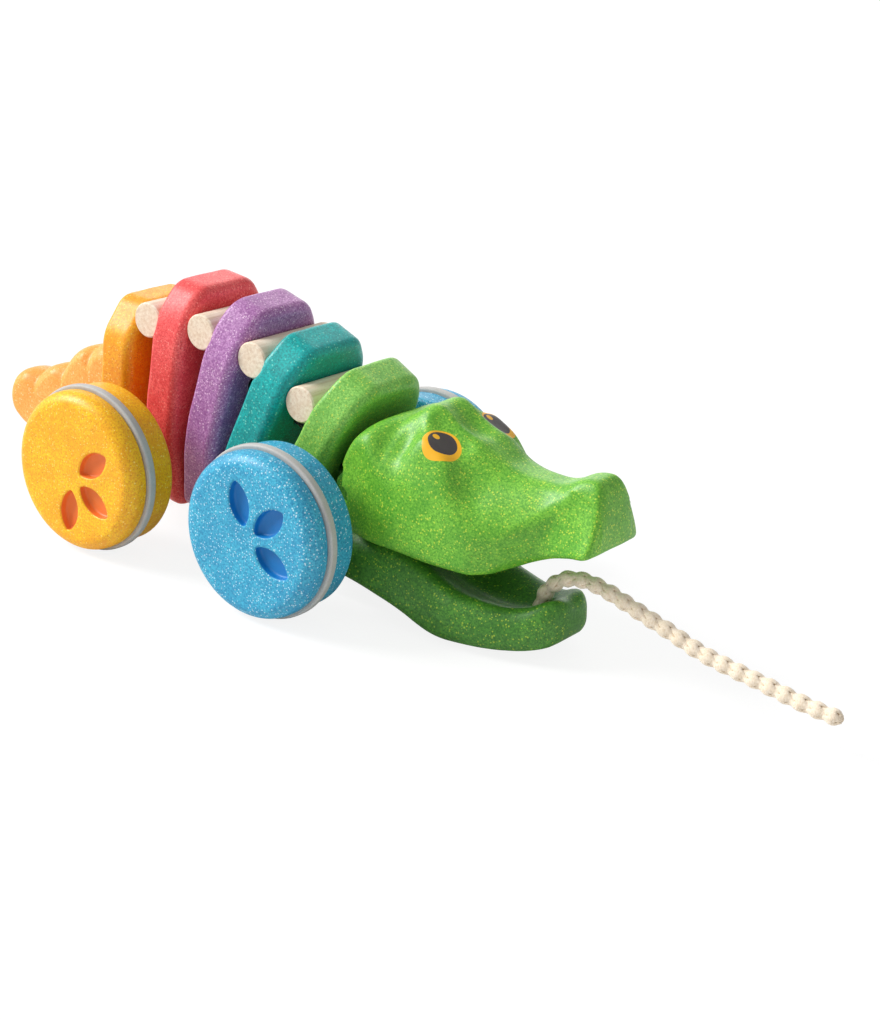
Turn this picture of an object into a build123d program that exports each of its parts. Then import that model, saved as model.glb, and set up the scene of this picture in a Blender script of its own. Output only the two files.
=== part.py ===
"""Pull-along wooden crocodile: five shaped body plates on dowels between two wheeled ends.

Frame: +X runs to the nose, +Y to the toy's left, +Z up. The origin is on the floor, below
the middle of the overall length. Positions along X are first given from the rear axle and
then shifted by REAR_AXLE_X. All sizes are in millimetres.
"""
from build123d import *
import math
import os

os.makedirs("parts", exist_ok=True)

# ---------------------------------------------------------------- driving dimensions
REAR_AXLE_X = -88.73                # rear axle, from the origin
WHEELBASE = 76.5
AXLE_Z = 28.25                      # height of both axles over the floor

WHEEL_R = 27.0
WHEEL_T = 20.0                      # whole wheel, across the two discs
WHEEL_OUTER_Y = 53.2                # outer face of a wheel from the centre plane
OUTER_DISC_T = 7.6
TYRE_W = 3.1
TYRE_R = 28.25
TYRE_SEAT_R = 24.5
WHEEL_OUTER_FILLET = 4.6
WHEEL_INNER_FILLET = 1.2
PETAL_LONG = 15.0
PETAL_WIDE = 8.0
PETAL_AT_R = 11.6
PETAL_DEPTH = 2.4
PETAL_STEP = 66.0                   # degrees from one petal to the next

AXLE_D = 5.0
AXLE_BORE_D = 5.12
AXLE_LEN = 94.0
SLEEVE_D = 8.0
SLEEVE_BORE_D = 5.2
SLEEVE_END_GAP = 0.25

PLATE_T = 13.0
PLATE_TOP_HALF = 12.75
PLATE_HALF = 21.8
PLATE_SHOULDER = 12.0               # depth of the upper slope
PLATE_LOW_START = 50.0              # depth at which the lower slope starts
PLATE_FOOT_HALF = 12.45
PLATE_FULL_DEPTH = 80.5             # depth at which the lower slope reaches the foot width
PLATE_FOOT_R = 6.0                  # lower corners of every plate
PLATE_EDGE_R = 2.8

# top centre (x from the rear axle, z), forward tilt in degrees, depth and shoulder rounding
ORANGE_TOP = (-12.4, 78.4)
ORANGE_TILT = 1.0
ORANGE_DEPTH = 62.0
ORANGE_CORNER_R = 8.0
RED_TOP = (12.3, 88.6)
RED_TILT = 5.2
RED_DEPTH = 80.0
RED_CORNER_R = 11.0
PURPLE_TOP = (37.9, 86.8)
PURPLE_TILT = 14.0
PURPLE_DEPTH = 80.0
PURPLE_CORNER_R = 13.5
TEAL_TOP = (60.7, 79.7)
TEAL_TILT = 21.5
TEAL_DEPTH = 76.0
TEAL_CORNER_R = 9.0
NECK_TOP = (85.8, 73.4)
NECK_TILT = 25.4
NECK_DEPTH = 70.0
NECK_CORNER_R = 12.0

DOWEL_D = 12.0
DOWEL_LEN = 38.0
DOWEL_RUN = 0.08                    # radial clearance of a dowel in its rocking groove
DOWEL_1 = (-0.7, 74.3)
DOWEL_2 = (23.1, 75.7)
DOWEL_3 = (45.6, 71.6)
DOWEL_4 = (66.8, 62.0)

LINK_D = 3.0                        # elastic cords between neighbouring plates
LINK_HOLE_D = 3.6
LINK_DROP = 13.4                    # below the dowel, along the plates
LINK_KNOT_D = 5.6
LINK_POCKET_D = 7.4
LINK_POCKET_DEPTH = 4.2
LINK_KNOT_OUT = 2.3                 # knot centre above the floor of its pocket
LINK_PAIR_Y = 6.7                   # gaps 2 and 4 have two cords, gaps 1 and 3 one in the middle

REAR_BLOCK_HALF = 14.0
REAR_BLOCK_FRONT = 5.2
REAR_BLOCK_BACK = -19.6
REAR_BLOCK_LOW = 16.4
REAR_BLOCK_HIGH = 38.0
RELIEF_GAP = 0.45                   # the red plate's pocket stands this far off the rear block

FRONT_BLOCK_HALF = 18.0
FRONT_BLOCK_HIGH = 36.0
EAR_HIGH = 45.5
SLOT_HALF = 8.3
TONGUE_HALF = 8.0
HEAD_PIN = (88.6, 38.0)
HEAD_PIN_D = 5.0
HEAD_PIN_LEN = 33.0
TONGUE_R = 7.2

PEG_D = 6.0
PEG_LEN = 16.0

TAIL_HALF = 9.0
JAW_HALF = 22.5
HEAD_HALF = 25.0

CORD_D = 4.0
CORD_HOLE_D = 5.6
CORD_X = 152.6
CORD_PIVOT_Z = 15.6
KNOT_R = 3.7
KNOT_Z = 6.0
KNOT_POCKET_D = 9.6
KNOT_POCKET_TOP = 10.2


def pt(x, z, y=0.0):
    """A point of the frame from (x from the rear axle, z) and y."""
    return (REAR_AXLE_X + x, y, z)


def side_plane(x, z, y=0.0):
    """A plane seen from the toy's right side: its X is the frame's +X, its Y is +Z."""
    return Plane(origin=pt(x, z, y), x_dir=(1, 0, 0), z_dir=(0, -1, 0))


def along(top, tilt, depth, ahead=0.0):
    """(x, z) at a depth below a plate's top centre and a distance ahead of its mid-plane."""
    a = math.radians(tilt)
    x = top[0] - depth * math.sin(a) + ahead * math.cos(a)
    z = top[1] - depth * math.cos(a) - ahead * math.sin(a)
    return (x, z)


def plate_plane(top, tilt):
    """A plate's mid-plane: X across the toy, Y up the plate, Z ahead of it."""
    a = math.radians(tilt)
    return Plane(origin=pt(*top), x_dir=(0, 1, 0), z_dir=(math.cos(a), 0, -math.sin(a)))


def plate_body(top, tilt, depth, corner, thickness=PLATE_T):
    """The eight-sided slab, drawn in its own leaning plane, with all its edges rounded."""
    share = (depth - PLATE_LOW_START) / (PLATE_FULL_DEPTH - PLATE_LOW_START)
    foot = PLATE_HALF + (PLATE_FOOT_HALF - PLATE_HALF) * share
    with BuildSketch(plate_plane(top, tilt)) as outline:
        with BuildLine():
            Polyline(
                (-PLATE_TOP_HALF, 0),
                (PLATE_TOP_HALF, 0),
                (PLATE_HALF, -PLATE_SHOULDER),
                (PLATE_HALF, -PLATE_LOW_START),
                (foot, -depth),
                (-foot, -depth),
                (-PLATE_HALF, -PLATE_LOW_START),
                (-PLATE_HALF, -PLATE_SHOULDER),
                close=True,
            )
        make_face()
        fillet(outline.vertices().sort_by(Axis.Y)[2:], corner)
        fillet(outline.vertices().sort_by(Axis.Y)[:2], PLATE_FOOT_R)
    extrude(outline.sketch, amount=thickness / 2, both=True)


def round_faces(part, top, tilt, thickness=PLATE_T, radius=PLATE_EDGE_R):
    """Round the outline edges of both big faces of a plate."""
    plane = plate_plane(top, tilt)
    picked = []
    for edge in part.edges():
        middle = plane.to_local_coords(edge.position_at(0.5))
        ends = [plane.to_local_coords(edge.position_at(t)) for t in (0.0, 1.0)]
        flat = all(abs(abs(p.Z) - thickness / 2) < 1e-3 for p in [middle] + ends)
        if flat:
            picked.append(edge)
    fillet(picked, radius)


def cross_bore(x, z, diameter, half_length, mode=Mode.SUBTRACT):
    """A cylinder across the toy, centred on the centre plane."""
    with Locations(side_plane(x, z)):
        Cylinder(diameter / 2, half_length * 2, mode=mode)


def link_axis(dowel, tilt_back, tilt_front):
    """Middle point (x, z) and lean in degrees of the elastic cords below a dowel."""
    lean = (tilt_back + tilt_front) / 2
    return along(dowel, lean, LINK_DROP), lean


def link_plane(dowel, tilt_back, tilt_front, y):
    """A plane across one elastic cord at its middle; Z points ahead along the cord."""
    (x, z), lean = link_axis(dowel, tilt_back, tilt_front)
    a = math.radians(lean)
    return Plane(origin=pt(x, z, y), x_dir=(0, 1, 0), z_dir=(math.cos(a), 0, -math.sin(a)))


def reach(dowel, tilt_back, tilt_front, top, tilt, side):
    """Distance along an elastic cord from its middle to a plate's face; side is -1 or +1."""
    (x, z), lean = link_axis(dowel, tilt_back, tilt_front)
    a = math.radians(lean)
    b = math.radians(tilt)
    nx, nz = math.cos(b), -math.sin(b)
    dx, dz = math.cos(a), -math.sin(a)
    offset = (top[0] - x) * nx + (top[1] - z) * nz + side * PLATE_T / 2
    return offset / (dx * nx + dz * nz)


def link_places(y_at):
    """One place in the middle, or two either side of it."""
    return (0.0,) if y_at == 0 else (-y_at, y_at)


def link_holes(dowel, tilt_back, tilt_front, y_at, top, tilt, far_side):
    """Cord holes through a plate with knot pockets on its face away from the gap."""
    face = reach(dowel, tilt_back, tilt_front, top, tilt, far_side)
    for y in link_places(y_at):
        with Locations(link_plane(dowel, tilt_back, tilt_front, y)):
            Cylinder(LINK_HOLE_D / 2, 80, mode=Mode.SUBTRACT)
            pocket_mid = face - far_side * (LINK_POCKET_DEPTH / 2 - 1.5)
            with Locations((0, 0, pocket_mid)):
                Cylinder(LINK_POCKET_D / 2, LINK_POCKET_DEPTH + 3, mode=Mode.SUBTRACT)


def link_cords(dowel, back, front, y_at):
    """Elastic cords with a knot at each end; back and front are (top, tilt) of the plates."""
    low = reach(dowel, back[1], front[1], back[0], back[1], -1) + LINK_POCKET_DEPTH - LINK_KNOT_OUT
    high = reach(dowel, back[1], front[1], front[0], front[1], 1) - LINK_POCKET_DEPTH + LINK_KNOT_OUT
    for y in link_places(y_at):
        with Locations(link_plane(dowel, back[1], front[1], y)):
            with Locations((0, 0, (low + high) / 2)):
                Cylinder(LINK_D / 2, high - low)
            for end in (low, high):
                with Locations((0, 0, end)):
                    Sphere(LINK_KNOT_D / 2)


ORANGE = (ORANGE_TOP, ORANGE_TILT)
RED = (RED_TOP, RED_TILT)
PURPLE = (PURPLE_TOP, PURPLE_TILT)
TEAL = (TEAL_TOP, TEAL_TILT)
NECK = (NECK_TOP, NECK_TILT)

# ---------------------------------------------------------------- rear end
with BuildPart() as rear_axle_block:
    middle_x = (REAR_BLOCK_FRONT + REAR_BLOCK_BACK) / 2
    middle_z = (REAR_BLOCK_LOW + REAR_BLOCK_HIGH) / 2
    with Locations(pt(middle_x, middle_z)):
        Box(
            REAR_BLOCK_FRONT - REAR_BLOCK_BACK,
            REAR_BLOCK_HALF * 2,
            REAR_BLOCK_HIGH - REAR_BLOCK_LOW,
        )
    fillet(rear_axle_block.edges().filter_by(Axis.Y), 1.0)
    cross_bore(0, AXLE_Z, AXLE_BORE_D, 60)
rear_axle_block.part.label = "rear_axle_block"

with BuildPart() as plate_orange:
    plate_body(ORANGE_TOP, ORANGE_TILT, ORANGE_DEPTH, ORANGE_CORNER_R)
    round_faces(plate_orange, ORANGE_TOP, ORANGE_TILT)
    with Locations(pt(middle_x, REAR_BLOCK_HIGH / 2 - 10)):
        Box(60, REAR_BLOCK_HALF * 2, REAR_BLOCK_HIGH + 20, mode=Mode.SUBTRACT)
    cross_bore(*DOWEL_1, DOWEL_D + 2 * DOWEL_RUN, 40)
    link_holes(DOWEL_1, ORANGE_TILT, RED_TILT, 0.0, ORANGE_TOP, ORANGE_TILT, -1)
    tail_peg_x = along(ORANGE_TOP, ORANGE_TILT, 30.0, -PLATE_T / 2)[0]
    for peg_z in (43.0, 50.0):
        with Locations(Plane(origin=pt(tail_peg_x, peg_z), z_dir=(1, 0, 0))):
            Cylinder(PEG_D / 2, PEG_LEN, mode=Mode.SUBTRACT)
plate_orange.part.label = "plate_orange"

# the tail's side outline: scalloped back and smooth underside
with BuildPart() as tail:
    root_x_high = along(ORANGE_TOP, ORANGE_TILT, 23.4, -PLATE_T / 2)[0]
    root_x_low = along(ORANGE_TOP, ORANGE_TILT, 60.0, -PLATE_T / 2)[0]
    with BuildSketch(side_plane(0, 0)) as tail_side:
        with BuildLine():
            Spline(
                (-79.3, 28.0),
                (-78.7, 33.0),
                (-75.4, 36.4),
                (-72.0, 37.0),
                (-69.0, 37.3),
                (-67.1, 37.0),
                (-65.0, 38.5),
                (-62.0, 40.2),
                (-58.9, 41.5),
                (-55.5, 43.0),
                (-53.2, 43.9),
                (-51.4, 46.5),
                (-49.4, 49.0),
                (-47.0, 50.6),
                (-43.5, 51.9),
                (-39.1, 53.4),
                (-34.0, 55.2),
                (-28.0, 56.4),
                (root_x_high, 56.4),
            )
            Line((root_x_high, 56.4), (root_x_low, 18.6))
            Spline(
                (root_x_low, 18.6),
                (-32.0, 16.0),
                (-46.0, 14.2),
                (-60.0, 14.4),
                (-70.0, 16.2),
                (-75.8, 19.4),
                (-79.3, 28.0),
            )
        make_face()
    extrude(amount=TAIL_HALF, both=True)
    outline_edges = tail.edges().filter_by(GeomType.BSPLINE)
    fillet(outline_edges, 2.4)
    for peg_z in (43.0, 50.0):
        with Locations(Plane(origin=pt(tail_peg_x, peg_z), z_dir=(1, 0, 0))):
            Cylinder(PEG_D / 2, PEG_LEN, mode=Mode.SUBTRACT)
tail.part.label = "tail"

with BuildPart() as tail_pegs:
    for peg_z in (43.0, 50.0):
        with Locations(Plane(origin=pt(tail_peg_x, peg_z), z_dir=(1, 0, 0))):
            Cylinder(PEG_D / 2, PEG_LEN)
tail_pegs.part.label = "tail_pegs"

# ---------------------------------------------------------------- middle plates
with BuildPart() as plate_red:
    plate_body(RED_TOP, RED_TILT, RED_DEPTH, RED_CORNER_R)
    round_faces(plate_red, RED_TOP, RED_TILT)
    cross_bore(*DOWEL_1, DOWEL_D, 40)
    cross_bore(*DOWEL_2, DOWEL_D + 2 * DOWEL_RUN, 40)
    with Locations(pt(REAR_BLOCK_FRONT + RELIEF_GAP - 15, 15.5)):
        Box(30, REAR_BLOCK_HALF * 2 + 4, 53, mode=Mode.SUBTRACT)
    cross_bore(0, AXLE_Z, SLEEVE_D + 2.4, 40)
    link_holes(DOWEL_1, ORANGE_TILT, RED_TILT, 0.0, RED_TOP, RED_TILT, 1)
    link_holes(DOWEL_2, RED_TILT, PURPLE_TILT, LINK_PAIR_Y, RED_TOP, RED_TILT, -1)
plate_red.part.label = "plate_red"

with BuildPart() as plate_purple:
    plate_body(PURPLE_TOP, PURPLE_TILT, PURPLE_DEPTH, PURPLE_CORNER_R)
    round_faces(plate_purple, PURPLE_TOP, PURPLE_TILT)
    cross_bore(*DOWEL_2, DOWEL_D, 40)
    cross_bore(*DOWEL_3, DOWEL_D + 2 * DOWEL_RUN, 40)
    link_holes(DOWEL_2, RED_TILT, PURPLE_TILT, LINK_PAIR_Y, PURPLE_TOP, PURPLE_TILT, 1)
    link_holes(DOWEL_3, PURPLE_TILT, TEAL_TILT, 0.0, PURPLE_TOP, PURPLE_TILT, -1)
plate_purple.part.label = "plate_purple"

with BuildPart() as plate_teal:
    plate_body(TEAL_TOP, TEAL_TILT, TEAL_DEPTH, TEAL_CORNER_R)
    round_faces(plate_teal, TEAL_TOP, TEAL_TILT)
    cross_bore(*DOWEL_3, DOWEL_D, 40)
    cross_bore(*DOWEL_4, DOWEL_D + 2 * DOWEL_RUN, 40)
    link_holes(DOWEL_3, PURPLE_TILT, TEAL_TILT, 0.0, TEAL_TOP, TEAL_TILT, 1)
    link_holes(DOWEL_4, TEAL_TILT, NECK_TILT, LINK_PAIR_Y, TEAL_TOP, TEAL_TILT, -1)
plate_teal.part.label = "plate_teal"


def dowel_rod(centre):
    """One plain dowel across the toy with broken ends."""
    with Locations(side_plane(*centre)):
        rod = Cylinder(DOWEL_D / 2, DOWEL_LEN)
    chamfer(rod.edges().filter_by(GeomType.CIRCLE), 0.5)


with BuildPart() as dowel_1:
    dowel_rod(DOWEL_1)
dowel_1.part.label = "dowel_1"

with BuildPart() as dowel_2:
    dowel_rod(DOWEL_2)
dowel_2.part.label = "dowel_2"

with BuildPart() as dowel_3:
    dowel_rod(DOWEL_3)
dowel_3.part.label = "dowel_3"

with BuildPart() as dowel_4:
    dowel_rod(DOWEL_4)
dowel_4.part.label = "dowel_4"

with BuildPart() as elastic_link_1:
    link_cords(DOWEL_1, ORANGE, RED, 0.0)
elastic_link_1.part.label = "elastic_link_1"

with BuildPart() as elastic_link_2:
    link_cords(DOWEL_2, RED, PURPLE, LINK_PAIR_Y)
elastic_link_2.part.label = "elastic_link_2"

with BuildPart() as elastic_link_3:
    link_cords(DOWEL_3, PURPLE, TEAL, 0.0)
elastic_link_3.part.label = "elastic_link_3"

with BuildPart() as elastic_link_4:
    link_cords(DOWEL_4, TEAL, NECK, LINK_PAIR_Y)
elastic_link_4.part.label = "elastic_link_4"

# ---------------------------------------------------------------- front end
NECK_PEG_DEPTH = 56.0
NECK_PEG_Y = 11.0


def neck_pegs_at(mode):
    """Two pegs through the joint between the neck plate and the front block."""
    centre = along(NECK_TOP, NECK_TILT, NECK_PEG_DEPTH, PLATE_T / 2)
    a = math.radians(NECK_TILT)
    for y in (-NECK_PEG_Y, NECK_PEG_Y):
        plane = Plane(origin=pt(*centre, y), x_dir=(0, 1, 0), z_dir=(math.cos(a), 0, -math.sin(a)))
        with Locations(plane):
            Cylinder(PEG_D / 2, PEG_LEN, mode=mode)


with BuildPart() as plate_neck:
    plate_body(NECK_TOP, NECK_TILT, NECK_DEPTH, NECK_CORNER_R)
    round_faces(plate_neck, NECK_TOP, NECK_TILT)
    cross_bore(*DOWEL_4, DOWEL_D, 40)
    link_holes(DOWEL_4, TEAL_TILT, NECK_TILT, LINK_PAIR_Y, NECK_TOP, NECK_TILT, 1)
    neck_pegs_at(Mode.SUBTRACT)
plate_neck.part.label = "plate_neck"

with BuildPart() as neck_pegs:
    neck_pegs_at(Mode.ADD)
neck_pegs.part.label = "neck_pegs"

# a wooden stop behind the neck plate's foot sets the gap to the teal plate
with BuildPart() as neck_stop:
    stop_low = along(NECK_TOP, NECK_TILT, 64.0, -PLATE_T / 2)
    stop_high = along(NECK_TOP, NECK_TILT, 52.0, -PLATE_T / 2)
    teal_low = along(TEAL_TOP, TEAL_TILT, 70.5, PLATE_T / 2 + 0.5)
    teal_high = along(TEAL_TOP, TEAL_TILT, 58.0, PLATE_T / 2 + 0.5)
    with BuildSketch(side_plane(0, 0)):
        with BuildLine():
            Polyline(stop_low, stop_high, teal_high, teal_low, close=True)
        make_face()
    extrude(amount=9, both=True)
neck_stop.part.label = "neck_stop"

# lower jaw: one block that also carries the front axle and the head's hinge
with BuildPart() as lower_jaw:
    with BuildSketch(side_plane(0, 0)):
        with BuildLine():
            Spline(
                (86.0, 11.0),
                (94.0, 10.1),
                (104.0, 8.0),
                (116.0, 4.9),
                (124.0, 2.5),
                (131.0, 1.6),
                (140.0, 2.0),
                (152.0, 3.2),
                (160.6, 4.8),
                (165.4, 8.6),
            )
            Spline(
                (165.4, 8.6),
                (166.4, 14.0),
                (165.0, 19.0),
                (161.0, 20.6),
                (156.6, 18.4),
                (149.0, 15.8),
                (140.0, 15.0),
                (131.0, 17.0),
                (121.0, 21.2),
                (110.0, 24.6),
                (98.0, 25.8),
                (86.0, 26.0),
            )
            Line((86.0, 26.0), (86.0, 11.0))
        make_face()
    extrude(amount=JAW_HALF, both=True)
    with BuildSketch(Plane.XY.offset(-5)):
        with BuildLine():
            Spline(
                pt(86.0, 0, JAW_HALF)[:2],
                pt(128.0, 0, JAW_HALF)[:2],
                pt(144.0, 0, 20.4)[:2],
                pt(155.0, 0, 16.2)[:2],
                pt(163.4, 0, 10.4)[:2],
                pt(166.4, 0, 0)[:2],
                tangents=((1, 0), (0, -1)),
            )
            Spline(
                pt(166.4, 0, 0)[:2],
                pt(163.4, 0, -10.4)[:2],
                pt(155.0, 0, -16.2)[:2],
                pt(144.0, 0, -20.4)[:2],
                pt(128.0, 0, -JAW_HALF)[:2],
                pt(86.0, 0, -JAW_HALF)[:2],
                tangents=((0, -1), (-1, 0)),
            )
            Line(pt(86.0, 0, -JAW_HALF)[:2], pt(86.0, 0, JAW_HALF)[:2])
        make_face()
    extrude(amount=60, mode=Mode.INTERSECT)
    # slopes along both upper sides
    for s in (-1, 1):
        with BuildSketch(Plane.YZ.offset(REAR_AXLE_X + 97.0)):
            with BuildLine():
                Polyline(
                    (s * 24.0, 8.0),
                    (s * 17.0, 20.5),
                    (s * 17.0, 40.0),
                    (s * 24.0, 40.0),
                    close=True,
                )
            make_face()
        extrude(amount=80, mode=Mode.SUBTRACT)
    # trough of the mouth
    with Locations(pt(142.5, 24.5)):
        with Locations(Rotation(0, 90, 0)):
            Cylinder(14.0, 20.0, mode=Mode.SUBTRACT)
    for end_x in (132.5, 152.5):
        with Locations(pt(end_x, 24.5)):
            Sphere(14.0, mode=Mode.SUBTRACT)
    # the block behind the mouth, up against the neck plate, with two ears for the head's pin
    rear_low = along(NECK_TOP, NECK_TILT, 68.0, PLATE_T / 2)
    rear_high = along(NECK_TOP, NECK_TILT, 41.4, PLATE_T / 2)
    with BuildSketch(side_plane(0, 0)):
        with BuildLine():
            Polyline(
                rear_low,
                rear_high,
                (HEAD_PIN[0] - 6.0, FRONT_BLOCK_HIGH),
                (HEAD_PIN[0] - 6.0, EAR_HIGH - 4.0),
                (HEAD_PIN[0] - 2.5, EAR_HIGH),
                (HEAD_PIN[0] + 2.5, EAR_HIGH),
                (HEAD_PIN[0] + 6.0, EAR_HIGH - 4.0),
                (HEAD_PIN[0] + 6.0, 25.9),
                (HEAD_PIN[0] + 10.0, 25.0),
                (HEAD_PIN[0] + 10.0, 11.5),
                (HEAD_PIN[0], rear_low[1]),
                close=True,
            )
        make_face()
    extrude(amount=FRONT_BLOCK_HALF, both=True)
    with Locations(pt(HEAD_PIN[0] + 6.0, 50.0)):
        Box(2 * (TONGUE_R + 6.4), SLOT_HALF * 2, 46.0, mode=Mode.SUBTRACT)
    cross_bore(76.5, AXLE_Z, AXLE_BORE_D, 60)
    cross_bore(*HEAD_PIN, HEAD_PIN_D, HEAD_PIN_LEN / 2)
    neck_pegs_at(Mode.SUBTRACT)
    # hole for the pull cord with a pocket for its knot underneath
    with Locations(pt(CORD_X, 10)):
        Cylinder(CORD_HOLE_D / 2, 30, mode=Mode.SUBTRACT)
    with Locations(pt(CORD_X, KNOT_POCKET_TOP - 10)):
        Cylinder(KNOT_POCKET_D / 2, 20, mode=Mode.SUBTRACT)
lower_jaw.part.label = "lower_jaw"

with BuildPart() as head_pin:
    with Locations(side_plane(*HEAD_PIN)):
        Cylinder(HEAD_PIN_D / 2, HEAD_PIN_LEN)
head_pin.part.label = "head_pin"

# head: side outline and plan outline crossed, then sloped flanks, brows and a hinge tongue
with BuildPart() as head:
    with BuildSketch(side_plane(0, 0)):
        with BuildLine():
            Spline(
                (91.0, 29.6),
                (97.0, 26.6),
                (118.0, 26.2),
                (136.0, 26.2),
                (144.0, 27.8),
                (152.0, 31.4),
                (160.0, 35.6),
                (168.0, 38.2),
                (176.4, 40.8),
            )
            Spline(
                (176.4, 40.8),
                (176.2, 48.0),
                (174.8, 57.0),
                (172.0, 61.8),
                (167.0, 62.4),
                (160.0, 59.4),
                (152.0, 58.2),
                (143.0, 58.5),
                (136.0, 60.4),
                (130.0, 63.2),
                (122.0, 66.6),
                (114.0, 70.6),
                (109.0, 70.8),
                (104.0, 66.4),
                (98.0, 64.2),
                (93.0, 61.6),
                (89.0, 50.8),
                (85.6, 42.0),
                (86.6, 34.0),
                (91.0, 29.6),
            )
        make_face()
    extrude(amount=HEAD_HALF, both=True)
    with BuildSketch(Plane.XY):
        with BuildLine():
            Spline(
                pt(85.4, 0, 0)[:2],
                pt(85.8, 0, 14.0)[:2],
                pt(88.6, 0, 20.4)[:2],
                pt(96.0, 0, 23.8)[:2],
                pt(122.0, 0, HEAD_HALF)[:2],
                pt(138.0, 0, 23.8)[:2],
                pt(150.0, 0, 18.6)[:2],
                pt(160.0, 0, 13.0)[:2],
                pt(167.0, 0, 13.2)[:2],
                pt(174.8, 0, 15.2)[:2],
                pt(176.6, 0, 9.0)[:2],
                pt(176.8, 0, 0)[:2],
                tangents=((0, 1), (0, -1)),
            )
            Spline(
                pt(176.8, 0, 0)[:2],
                pt(176.6, 0, -9.0)[:2],
                pt(174.8, 0, -15.2)[:2],
                pt(167.0, 0, -13.2)[:2],
                pt(160.0, 0, -13.0)[:2],
                pt(150.0, 0, -18.6)[:2],
                pt(138.0, 0, -23.8)[:2],
                pt(122.0, 0, -HEAD_HALF)[:2],
                pt(96.0, 0, -23.8)[:2],
                pt(88.6, 0, -20.4)[:2],
                pt(85.8, 0, -14.0)[:2],
                pt(85.4, 0, 0)[:2],
                tangents=((0, -1), (0, 1)),
            )
        make_face()
    extrude(amount=90, mode=Mode.INTERSECT)
    for s in (-1, 1):
        with BuildSketch(Plane.YZ.offset(REAR_AXLE_X + 84.0)):
            with BuildLine():
                Polyline(
                    (s * 26.0, 48.0),
                    (s * 17.5, 62.6),
                    (s * 8.0, 70.0),
                    (s * 8.0, 80.0),
                    (s * 26.0, 80.0),
                    close=True,
                )
            make_face()
        extrude(amount=64, mode=Mode.SUBTRACT)
        with BuildSketch(Plane.YZ.offset(REAR_AXLE_X + 148.0)):
            with BuildLine():
                Polyline(
                    (s * 18.0, 44.0),
                    (s * 8.0, 60.5),
                    (s * 8.0, 70.0),
                    (s * 18.0, 70.0),
                    close=True,
                )
            make_face()
        extrude(amount=40, mode=Mode.SUBTRACT)
    for s in (-1, 1):
        with Locations(pt(121.0, 57.4, s * 13.6)):
            Sphere(8.2)
    # hollow for the two ears, leaving the tongue between them
    with Locations(pt(HEAD_PIN[0] + 1.0, 35.0)):
        Box(16.0, 2 * (FRONT_BLOCK_HALF + 0.5), 24.0, mode=Mode.SUBTRACT)
    with BuildSketch(side_plane(0, 0)):
        with BuildLine():
            Polyline(
                (HEAD_PIN[0], HEAD_PIN[1] - TONGUE_R),
                (HEAD_PIN[0] + 12.0, HEAD_PIN[1] - TONGUE_R + 1.0),
                (HEAD_PIN[0] + 12.0, HEAD_PIN[1] + 13.0),
                (HEAD_PIN[0] - 2.0, HEAD_PIN[1] + 13.0),
                (HEAD_PIN[0] - TONGUE_R, HEAD_PIN[1] + 3.0),
                close=True,
            )
        make_face()
        with Locations(HEAD_PIN):
            Circle(TONGUE_R)
    extrude(amount=TONGUE_HALF, both=True)
    cross_bore(*HEAD_PIN, HEAD_PIN_D + 0.12, TONGUE_HALF + 1)
head.part.label = "head"


# ---------------------------------------------------------------- wheels and axles
def wheel_body(axle_x, side, first_petal):
    """A two-disc wheel with a tyre groove, a blind bore and three petal hollows."""
    inner_y = WHEEL_OUTER_Y - WHEEL_T
    with Locations(side_plane(axle_x, AXLE_Z, side * (WHEEL_OUTER_Y - WHEEL_T / 2))):
        disc = Cylinder(WHEEL_R, WHEEL_T)
    rims = disc.edges().filter_by(GeomType.CIRCLE).sort_by(Axis.Y)
    outer_rim = rims[-1] if side > 0 else rims[0]
    inner_rim = rims[0] if side > 0 else rims[-1]
    fillet(outer_rim, WHEEL_OUTER_FILLET)
    fillet(inner_rim, WHEEL_INNER_FILLET)
    groove_y = WHEEL_OUTER_Y - OUTER_DISC_T - TYRE_W / 2
    with BuildSketch(side_plane(axle_x, AXLE_Z, side * groove_y)) as groove:
        Circle(WHEEL_R + 2)
        Circle(TYRE_SEAT_R, mode=Mode.SUBTRACT)
    extrude(groove.sketch, amount=TYRE_W / 2 + 0.05, both=True, mode=Mode.SUBTRACT)
    with BuildSketch(side_plane(axle_x, AXLE_Z, side * inner_y)) as bore:
        Circle(AXLE_D / 2)
    extrude(bore.sketch, amount=-side * (AXLE_LEN / 2 - inner_y), mode=Mode.SUBTRACT)
    with BuildSketch(side_plane(axle_x, AXLE_Z, side * WHEEL_OUTER_Y)) as petals:
        for number in range(3):
            turn = first_petal + number * PETAL_STEP
            a = math.radians(turn)
            with Locations(Location((PETAL_AT_R * math.cos(a), PETAL_AT_R * math.sin(a)), turn)):
                Ellipse(PETAL_LONG / 2, PETAL_WIDE / 2)
    extrude(petals.sketch, amount=side * PETAL_DEPTH, mode=Mode.SUBTRACT)


def tyre_ring(axle_x, side):
    """A stretched rubber band in the wheel's groove."""
    y = WHEEL_OUTER_Y - OUTER_DISC_T - TYRE_W / 2
    with BuildSketch(side_plane(axle_x, AXLE_Z, side * y)) as section:
        Circle(TYRE_R)
        Circle(TYRE_SEAT_R, mode=Mode.SUBTRACT)
    ring = extrude(section.sketch, amount=TYRE_W / 2, both=True)
    fillet(ring.edges().filter_by(GeomType.CIRCLE).sort_by(SortBy.LENGTH)[-2:], 0.8)


def axle_rod(axle_x):
    """A plain steel rod from wheel to wheel."""
    with Locations(side_plane(axle_x, AXLE_Z)):
        rod = Cylinder(AXLE_D / 2, AXLE_LEN)


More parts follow.
